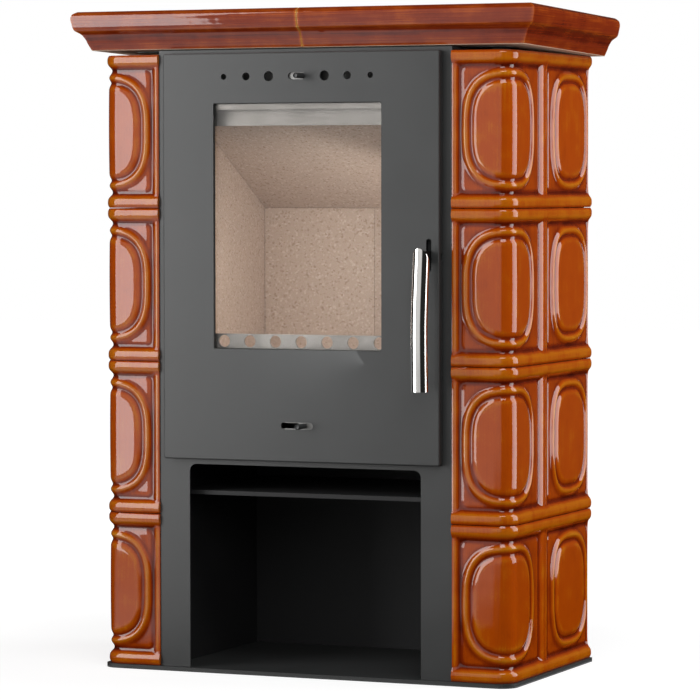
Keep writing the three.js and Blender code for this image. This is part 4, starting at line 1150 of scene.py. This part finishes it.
# --------------------------------------------------------------------- handle, flue, pins
@dataclass
class BarHandle:
    """The bowed tube that lifts the latch, cut obliquely and closed at its top, open below."""

    x: float = 196.9
    radius: float = 12.0
    wall: float = 1.5
    stations: tuple[tuple[float, float], ...] = (
        (-48.0, 408.5), (-50.0, 505.5), (-42.0, 598.5), (-41.0, 617.0)
    )
    bottom: float = 412.5
    tip: float = 613.0
    top_y: float = -42.0
    cut_drop: float = 36.0
    segments: int = 48
    hollow: float = 45.0
    rim_round: float = 0.7

    def mesh(self) -> bpy.types.Mesh:
        """Builds the tube."""
        shape = bmesh.new()
        line = smooth_line(list(self.stations), 8)
        line = [p for p in line if p[1] > self.bottom]
        first_y = float(np.interp(self.bottom, [p[1] for p in line], [p[0] for p in line]))
        line = [(first_y, self.bottom), *line[1:]]
        bmesh.ops.create_circle(
            shape,
            segments=self.segments,
            radius=self.radius,
            matrix=Matrix.Translation((self.x, line[0][0], line[0][1])),
        )
        lower_rim = shape.edges[:]
        edges = lower_rim
        lean = 0.0
        for (y0, z0), (y1, z1) in zip(line, line[1:]):
            made = bmesh.ops.extrude_edge_only(shape, edges=edges)
            verts = [g for g in made["geom"] if isinstance(g, bmesh.types.BMVert)]
            edges = [g for g in made["geom"] if isinstance(g, bmesh.types.BMEdge)]
            bmesh.ops.translate(shape, vec=(0, y1 - y0, z1 - z0), verts=verts)
            turn = -math.atan2(y1 - y0, z1 - z0)
            bmesh.ops.rotate(
                shape,
                verts=verts,
                cent=(self.x, y1, z1),
                matrix=Matrix.Rotation(turn - lean, 3, "X"),
            )
            lean = turn
        normal = Vector((0, self.cut_drop, 2 * self.radius)).normalized()
        point = Vector((self.x, self.top_y, self.tip - self.cut_drop / 2))
        bmesh.ops.bisect_plane(
            shape,
            geom=shape.verts[:] + shape.edges[:] + shape.faces[:],
            plane_co=point,
            plane_no=normal,
            clear_outer=True,
        )
        upper_rim = [
            e
            for e in shape.edges
            if e.is_boundary and all(abs((v.co - point).dot(normal)) < 0.01 for v in e.verts)
        ]
        cap = bmesh.ops.holes_fill(shape, edges=upper_rim)["faces"]
        bmesh.ops.bevel(
            shape,
            geom=[e for f in cap for e in f.edges],
            offset=self.rim_round,
            offset_type="OFFSET",
            affect="EDGES",
            segments=3,
            profile=0.5,
            material=-1,
        )
        rim = [e for e in shape.edges if e.is_boundary]
        centre = Vector((self.x, line[0][0], line[0][1]))
        inner = (self.radius - self.wall) / self.radius
        made = bmesh.ops.extrude_edge_only(shape, edges=rim)
        verts = [g for g in made["geom"] if isinstance(g, bmesh.types.BMVert)]
        edges = [g for g in made["geom"] if isinstance(g, bmesh.types.BMEdge)]
        bmesh.ops.scale(
            shape, vec=(inner, inner, 1), space=Matrix.Translation(-centre), verts=verts
        )
        made = bmesh.ops.extrude_edge_only(shape, edges=edges)
        verts = [g for g in made["geom"] if isinstance(g, bmesh.types.BMVert)]
        edges = [g for g in made["geom"] if isinstance(g, bmesh.types.BMEdge)]
        bmesh.ops.translate(shape, vec=(0, -0.6, self.hollow), verts=verts)
        bmesh.ops.holes_fill(shape, edges=edges)
        bmesh.ops.recalc_face_normals(shape, faces=shape.faces[:])
        return mesh_of(shape)

    def build(self, material: bpy.types.Material) -> None:
        """Puts the tube on the latch."""
        new_piece(
            self.mesh(), "polished_handle", material, "handle", ("handle_tube",)
        )


@dataclass
class FlueCollar:
    """The round flue spigot with its flange."""

    y: float = 190.0
    radius: float = 75.0
    wall: float = 2.5
    top: float = 940.0
    flange_radius: float = 95.0
    steps: int = 72

    def build(self, material: bpy.types.Material) -> None:
        """Puts the collar on the stove."""
        low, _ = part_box("flue_collar")
        foot = low.z / MM
        inner = self.radius - self.wall
        profile = [
            (inner, foot),
            (self.flange_radius - 1, foot),
            (self.flange_radius, foot + 1),
            (self.flange_radius, foot + self.wall - 0.5),
            (self.flange_radius - 0.5, foot + self.wall),
            (self.radius + 2, foot + self.wall),
            (self.radius + 0.5, foot + self.wall + 0.6),
            (self.radius, foot + self.wall + 2),
            (self.radius, self.top - 0.6),
            (self.radius - 0.6, self.top),
            (inner + 0.6, self.top),
            (inner, self.top - 0.6),
        ]
        shape = spun(profile, Vector((0, 0, 1)), Vector((0, self.y, 0)), self.steps)
        new_piece(
            mesh_of(shape), "turned_flue_collar", material, "stove", ("flue_collar",)
        )


@dataclass
class AirPins:
    """The two turned pins that move the air slides, each with a rounded ring and a dimple."""

    radius: float = 3.8
    steps: int = 32

    def build(self, material: bpy.types.Material) -> None:
        """Puts both pins on their slides."""
        for name, body in (("upper_air_pin", "upper_air"), ("lower_air_pin", "lower_air")):
            low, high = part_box(name)
            front = low.y / MM - FRAME_FACE_Y
            rear = high.y / MM - FRAME_FACE_Y
            middle = (low + high) / (2 * MM)
            r = self.radius
            length = rear - front
            profile = [
                (0, 0),
                (r, 0),
                (r, length - 1.1),
                (r - 0.25, length - 0.4),
                (r - 0.8, length),
                (r - 1.3, length - 0.15),
                (r - 1.8, length - 1.0),
                (0, length - 1.5),
            ]
            foot = Vector((middle.x, rear, middle.z))
            shape = spun(profile, Vector((0, -1, 0)), foot, self.steps)
            new_piece(mesh_of(shape), f"turned_{name}", material, body, (name,))


# ----------------------------------------------------------------------- carried-over parts
@dataclass
class Carcass:
    """The sheet-metal, board and glass parts whose solids are shown as they are."""

    finishes: dict[str, object] = field(
        default_factory=lambda: {
            "matt_paint": ANTHRACITE,
            "black_paint": BLACK_PAINT,
            "plain_steel": ROLLED_STEEL,
            "polished_steel": POLISHED_STEEL,
            "cast_iron": CAST_IRON,
            "vermiculite_board": PressedBoard(),
            "seal_rope": WovenRope(),
            "pane_glass": ClearPane(),
            "amber_glaze": AMBER_GLAZE,
            "dark_glaze": DARK_GLAZE,
        }
    )
    special: dict[str, object] = field(default_factory=lambda: {"base_plate": BASE_PAINT})

    def materials(self) -> dict[str, bpy.types.Material]:
        """Builds one material for each slot of the record."""
        return {slot: finish.build() for slot, finish in self.finishes.items()}

    def dress(self, materials: dict[str, bpy.types.Material]) -> None:
        """Gives every solid of the model its finish.

        Args:
            materials: The built materials by slot.
        """
        own = {node: finish.build() for node, finish in self.special.items()}
        for row in frame["record"]["subparts"]:
            node = frame["nodes"][row["node"]]
            material = own.get(row["node"], materials[row["material_slot"]])
            for slot in node.material_slots:
                slot.material = material
            LOG.info("%s: %s", row["node"], material.name)


@dataclass
class FireboxBoards:
    """The linings and the baffle with the worn, rounded edges of pressed board."""

    edge_round: float = 1.4
    crease: float = math.radians(30.0)
    boards: tuple[str, ...] = (
        "side_lining_left",
        "side_lining_right",
        "back_lining_left",
        "back_lining_right",
        "baffle_board",
        "hearth_slab",
    )

    def board(self, node: str) -> bpy.types.Mesh:
        """Builds one board from its solid.

        Args:
            node: The solid's name.

        Returns:
            The board's mesh, in metres.
        """
        shape = bmesh.new()
        shape.from_mesh(frame["nodes"][node].data)
        bmesh.ops.remove_doubles(shape, verts=shape.verts[:], dist=0.00002)
        bmesh.ops.dissolve_limit(
            shape, angle_limit=0.02, verts=shape.verts[:], edges=shape.edges[:]
        )
        sharp = [e for e in shape.edges if e.calc_face_angle(0.0) > self.crease]
        bmesh.ops.bevel(
            shape,
            geom=sharp,
            offset=self.edge_round * MM,
            offset_type="OFFSET",
            affect="EDGES",
            segments=2,
            profile=0.5,
            material=-1,
            clamp_overlap=True,
        )
        bmesh.ops.recalc_face_normals(shape, faces=shape.faces[:])
        mesh = bpy.data.meshes.new("board")
        shape.to_mesh(mesh)
        shape.free()
        return mesh

    def build(self, material: bpy.types.Material) -> None:
        """Puts the boards into the firebox.

        Args:
            material: The pressed board's finish.
        """
        for node in self.boards:
            new_piece(
                self.board(node), f"rounded_{node}", material, "stove", (node,)
            )


# --------------------------------------------------------------------------------- studio
@dataclass(frozen=True)
class SoftBox:
    """One rectangular studio lamp that faces the stove."""

    name: str
    azimuth: float  # degrees from straight in front, to the right
    distance: float  # metres
    height: float  # metres, of its middle
    width: float
    length: float
    watts: float
    aim_height: float = 0.5
    mirrored: bool = True  # whether the glaze and the steel mirror it
    spread: bool = True  # whether it lights the matt faces

    def build(self) -> None:
        """Hangs the lamp."""
        angle = math.radians(self.azimuth)
        spot = Vector(
            (self.distance * math.sin(angle), -self.distance * math.cos(angle), self.height)
        )
        lamp = bpy.data.lights.new(self.name, "AREA")
        lamp.shape = "RECTANGLE"
        lamp.size, lamp.size_y = self.width, self.length
        lamp.energy = self.watts
        holder = bpy.data.objects.new(self.name, lamp)
        bpy.context.scene.collection.objects.link(holder)
        away = spot - Vector((0, 0, self.aim_height))
        holder.matrix_world = Matrix.Translation(spot) @ away.to_track_quat(
            "Z", "Y"
        ).to_matrix().to_4x4()
        holder.visible_glossy = self.mirrored
        holder.visible_diffuse = self.spread


@dataclass
class Studio:
    """Camera, lamps, floor and surroundings. The key lamp is a pair, of which one is for mirrors
    alone, because the glaze mirrors more of it than the matt faces show."""

    camera_spot: tuple[float, float, float] = (2.14470, -5.00714, 0.69963)
    yaw: float = math.radians(23.15764)
    pitch: float = math.radians(2.52911)
    roll: float = math.radians(-0.06642)
    lens: float = 192.794
    sensor: float = 36.0
    lamps: tuple[SoftBox, ...] = (
        SoftBox("key_softbox", -42.9, 2.47, 1.37, 1.37, 2.7, 32.0, 1.37),
        SoftBox("key_sheen", -42.9, 2.44, 1.37, 1.35, 2.67, 30.0, 1.37, spread=False),
        SoftBox("side_softbox", 116.0, 2.3, 1.2, 1.55, 2.36, 43.0, 1.2),
        SoftBox("top_softbox", 46.0, 2.1, 2.7, 1.5, 0.8, 22.0, 0.55),
        SoftBox("fill_softbox", 25.0, 2.0, 1.0, 0.8, 0.8, 11.0, 0.5, mirrored=False),
    )
    hearth_light: tuple[float, float, float] = (75.0, 22.0, 570.0)
    hearth_tilt: float = math.radians(70.0)
    hearth_turn: float = math.radians(32.0)
    hearth_size: tuple[float, float] = (0.30, 0.26)
    hearth_watts: float = 0.49
    ambient: float = 0.15
    floor_size: float = 24.0
    floor_colour: str = "#9a9a9a"
    shadow_reach: tuple[float, float] = (0.45, 1.3)  # between these the floor fades to white
    glow_near: float = 0.8
    glow_far: float = 1.0
    flag_radius: float = 4.6
    flag_height: float = 4.2
    flag_segments: int = 144
    opening: tuple[float, float] = (-27.0, 31.0)
    opening_blur: float = 9.0
    opening_light: float = 0.8
    cloth_light: float = 0.022
    white_floor: float = 0.7  # radius beyond which mirrors see the lit floor
    dark_floor: float = 0.45
    floor_turns: tuple[float, ...] = (-80.0, -60.0, -22.0, 5.0)
    floor_whites: tuple[float, ...] = (0.0, 1.1, 1.1, 0.0)
    cloth_gap: float = 0.002

    def build(self) -> None:
        """Sets up the whole studio."""
        self.hang_camera()
        for lamp in self.lamps:
            lamp.build()
        self.light_hearth()
        self.light_world()
        self.lay_floor()
        self.hang_flags()
        bpy.context.scene.view_settings.view_transform = "Standard"

    def hang_camera(self) -> None:
        """Puts the camera where the photograph was taken from."""
        camera = bpy.data.cameras.new("camera")
        camera.sensor_width = self.sensor
        camera.lens = self.lens
        holder = bpy.data.objects.new("camera", camera)
        forward = Vector(
            (
                -math.sin(self.yaw) * math.cos(self.pitch),
                math.cos(self.yaw) * math.cos(self.pitch),
                -math.sin(self.pitch),
            )
        )
        right = Vector((math.cos(self.yaw), math.sin(self.yaw), 0))
        up = right.cross(forward)
        level_right = right * math.cos(self.roll) + up * math.sin(self.roll)
        level_up = up * math.cos(self.roll) - right * math.sin(self.roll)
        turn = Matrix((level_right, level_up, -forward)).transposed().to_4x4()
        holder.matrix_world = Matrix.Translation(self.camera_spot) @ turn
        bpy.context.scene.collection.objects.link(holder)
        bpy.context.scene.camera = holder

    def seen_rays(self, tree) -> bpy.types.NodeSocket:
        """Adds the nodes that tell rays of the picture, of mirrors and of glass from the rest.

        Args:
            tree: Node tree that takes the nodes.

        Returns:
            Socket with 1 for those rays.
        """
        rays = add_node(tree, "LightPath")
        both = add_node(tree, "Math", {
            0: rays.outputs["Is Camera Ray"], 1: rays.outputs["Is Glossy Ray"],
        }, operation="MAXIMUM")
        every = add_node(
            tree, "Math", {0: both, 1: rays.outputs["Is Transmission Ray"]}, operation="MAXIMUM"
        )
        return every.outputs[0]

    def light_hearth(self) -> None:
        """Hangs a small unseen lamp behind the pane, which lights the linings."""
        lamp = bpy.data.lights.new("hearth_softbox", "AREA")
        lamp.shape = "RECTANGLE"
        lamp.size, lamp.size_y = self.hearth_size
        lamp.energy = self.hearth_watts
        holder = bpy.data.objects.new("hearth_softbox", lamp)
        bpy.context.scene.collection.objects.link(holder)
        holder.matrix_world = (
            Matrix.Translation(place(*self.hearth_light))
            @ Matrix.Rotation(self.hearth_turn, 4, "Z")
            @ Matrix.Rotation(self.hearth_tilt, 4, "X")
        )
        holder.visible_camera = False
        holder.visible_glossy = False
        holder.visible_transmission = False

    def light_world(self) -> None:
        """Gives the surroundings a plain level of light and a white look."""
        world = bpy.data.worlds.new("white_studio")
        bpy.context.scene.world = world
        world.use_nodes = True
        tree = world.node_tree
        tree.nodes.clear()
        dim = add_node(
            tree, "Background", {"Color": (1.0, 1.0, 1.0, 1.0), "Strength": self.ambient}
        )
        white = add_node(tree, "Background", {"Color": (1.0, 1.0, 1.0, 1.0), "Strength": 1.0})
        both = add_node(tree, "MixShader", {0: self.seen_rays(tree), 1: dim, 2: white})
        add_node(tree, "OutputWorld", {"Surface": both})

    def lay_floor(self) -> None:
        """Lays the pale floor, which keeps the stove's shadow."""
        shape = bmesh.new()
        bmesh.ops.create_grid(shape, x_segments=8, y_segments=8, size=self.floor_size / 2)
        mesh = bpy.data.meshes.new("floor")
        shape.to_mesh(mesh)
        shape.free()
        material, tree = new_material("pale_floor")
        where = add_node(tree, "TexCoord").outputs["Object"]
        away = add_node(tree, "VectorMath", {0: where}, operation="LENGTH")
        level = add_node(tree, "MapRange", {
            "Value": away.outputs["Value"], "From Min": self.shadow_reach[0],
            "From Max": self.shadow_reach[1], "To Min": self.glow_near, "To Max": self.glow_far,
        }, interpolation_type="SMOOTHSTEP")
        matt = add_node(tree, "BsdfDiffuse", {"Color": linear(self.floor_colour)})
        glow = add_node(tree, "Emission", {"Color": (1.0, 1.0, 1.0, 1.0), "Strength": level})
        none = add_node(tree, "Emission", {"Strength": 0.0})
        seen = add_node(tree, "MixShader", {0: self.seen_rays(tree), 1: none, 2: glow})
        whole = add_node(tree, "AddShader", {0: matt, 1: seen})
        add_node(tree, "OutputMaterial", {"Surface": whole})
        new_staging(mesh, material)

    def cloth_brightness(self, azimuth: float) -> float:
        """How bright the cloth round the studio is.

        Args:
            azimuth: Direction in degrees from straight in front, to the right.

        Returns:
            Most in the pale opening behind the camera, the dark cloth's own light elsewhere.
        """
        turned = (azimuth + 180) % 360 - 180
        start, end = self.opening
        inside = min(turned - start, end - turned) / self.opening_blur
        share = min(1.0, max(0.0, 0.5 + inside))
        eased = share * share * (3 - 2 * share)
        return self.cloth_light + (self.opening_light - self.cloth_light) * eased

    def floor_brightness(self, azimuth: float) -> float:
        """How bright mirrors see the floor.

        Args:
            azimuth: Direction in degrees from straight in front, to the right.

        Returns:
            White at the left in front of the stove, where the key lamp lights it, dark elsewhere.
        """
        return float(np.interp(azimuth, self.floor_turns, self.floor_whites))

    def extend(self, shape, edges: list, level, factor: float, light: float | None) -> list:
        """Draws a ring of cloth inwards from a rim.

        Args:
            shape: The cloth's bmesh.
            edges: The rim's edges.
            level: Layer with the cloth's brightness.
            factor: The new rim's size against the old one's.
            light: Brightness of the new rim, or None to keep the old one's.

        Returns:
            The new rim's edges.
        """
        made = bmesh.ops.extrude_edge_only(shape, edges=edges)["geom"]
        verts = [g for g in made if isinstance(g, bmesh.types.BMVert)]
        bmesh.ops.scale(shape, vec=(factor, factor, 1), verts=verts)
        for vert in verts:
            azimuth = math.degrees(math.atan2(vert.co.x, -vert.co.y))
            vert[level] = self.floor_brightness(azimuth) if light is None else light
        return [
            g
            for g in made
            if isinstance(g, bmesh.types.BMEdge) and all(v in verts for v in g.verts)
        ]

    def hang_flags(self) -> None:
        """Hangs the cloth drum with its lid round the studio, which only mirrors see. It is dark
        apart from a white opening behind the camera."""
        material, tree = new_material("studio_cloth")
        light = add_node(tree, "Attribute", attribute_name="cloth_light")
        cloth = add_node(
            tree, "Emission", {"Color": (1.0, 0.985, 0.97, 1.0), "Strength": light.outputs["Fac"]}
        )
        add_node(tree, "OutputMaterial", {"Surface": cloth})
        shape = bmesh.new()
        level = shape.verts.layers.float.new("cloth_light")
        bmesh.ops.create_circle(shape, segments=self.flag_segments, radius=self.flag_radius)
        foot = shape.edges[:]
        wall = bmesh.ops.extrude_edge_only(shape, edges=foot)
        upper = [g for g in wall["geom"] if isinstance(g, bmesh.types.BMVert)]
        bmesh.ops.translate(shape, vec=(0, 0, self.flag_height), verts=upper)
        for vert in shape.verts:
            azimuth = math.degrees(math.atan2(vert.co.x, -vert.co.y))
            vert[level] = self.cloth_brightness(azimuth)
        ground = self.extend(shape, foot, level, self.white_floor / self.flag_radius, None)
        ground = self.extend(shape, ground, level, self.dark_floor / self.white_floor, 0.0)
        bmesh.ops.holes_fill(shape, edges=ground)
        rim = [e for e in shape.edges if e.is_boundary and e.verts[0].co.z > self.flag_height / 2]
        bmesh.ops.holes_fill(shape, edges=self.extend(shape, rim, level, 0.9, self.cloth_light))
        for vert in shape.verts:
            if vert.co.z < self.flag_height / 2:
                vert.co.z = self.cloth_gap
        bmesh.ops.recalc_face_normals(shape, faces=shape.faces[:])
        mesh = bpy.data.meshes.new("studio_cloth")
        shape.to_mesh(mesh)
        shape.free()
        cloth_drum = new_staging(mesh, material)
        cloth_drum.visible_camera = False
        cloth_drum.visible_diffuse = False
        cloth_drum.visible_shadow = False
        cloth_drum.visible_transmission = False


def main() -> None:
    """Builds the stove's pieces round the model, dresses them and sets up the studio."""
    logging.basicConfig(level=logging.INFO, format="%(message)s")
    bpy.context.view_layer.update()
    Studio().build()
    carcass = Carcass()
    materials = carcass.materials()
    carcass.dress(materials)
    TileColumns().build(materials["amber_glaze"])
    Cornice().build(materials["dark_glaze"], JointMortar().build())
    BarHandle().build(materials["polished_steel"])
    FlueCollar().build(materials["cast_iron"])
    AirPins().build(materials["matt_paint"])
    FireboxBoards().build(materials["vermiculite_board"])


if __name__ == "__main__":
    main()
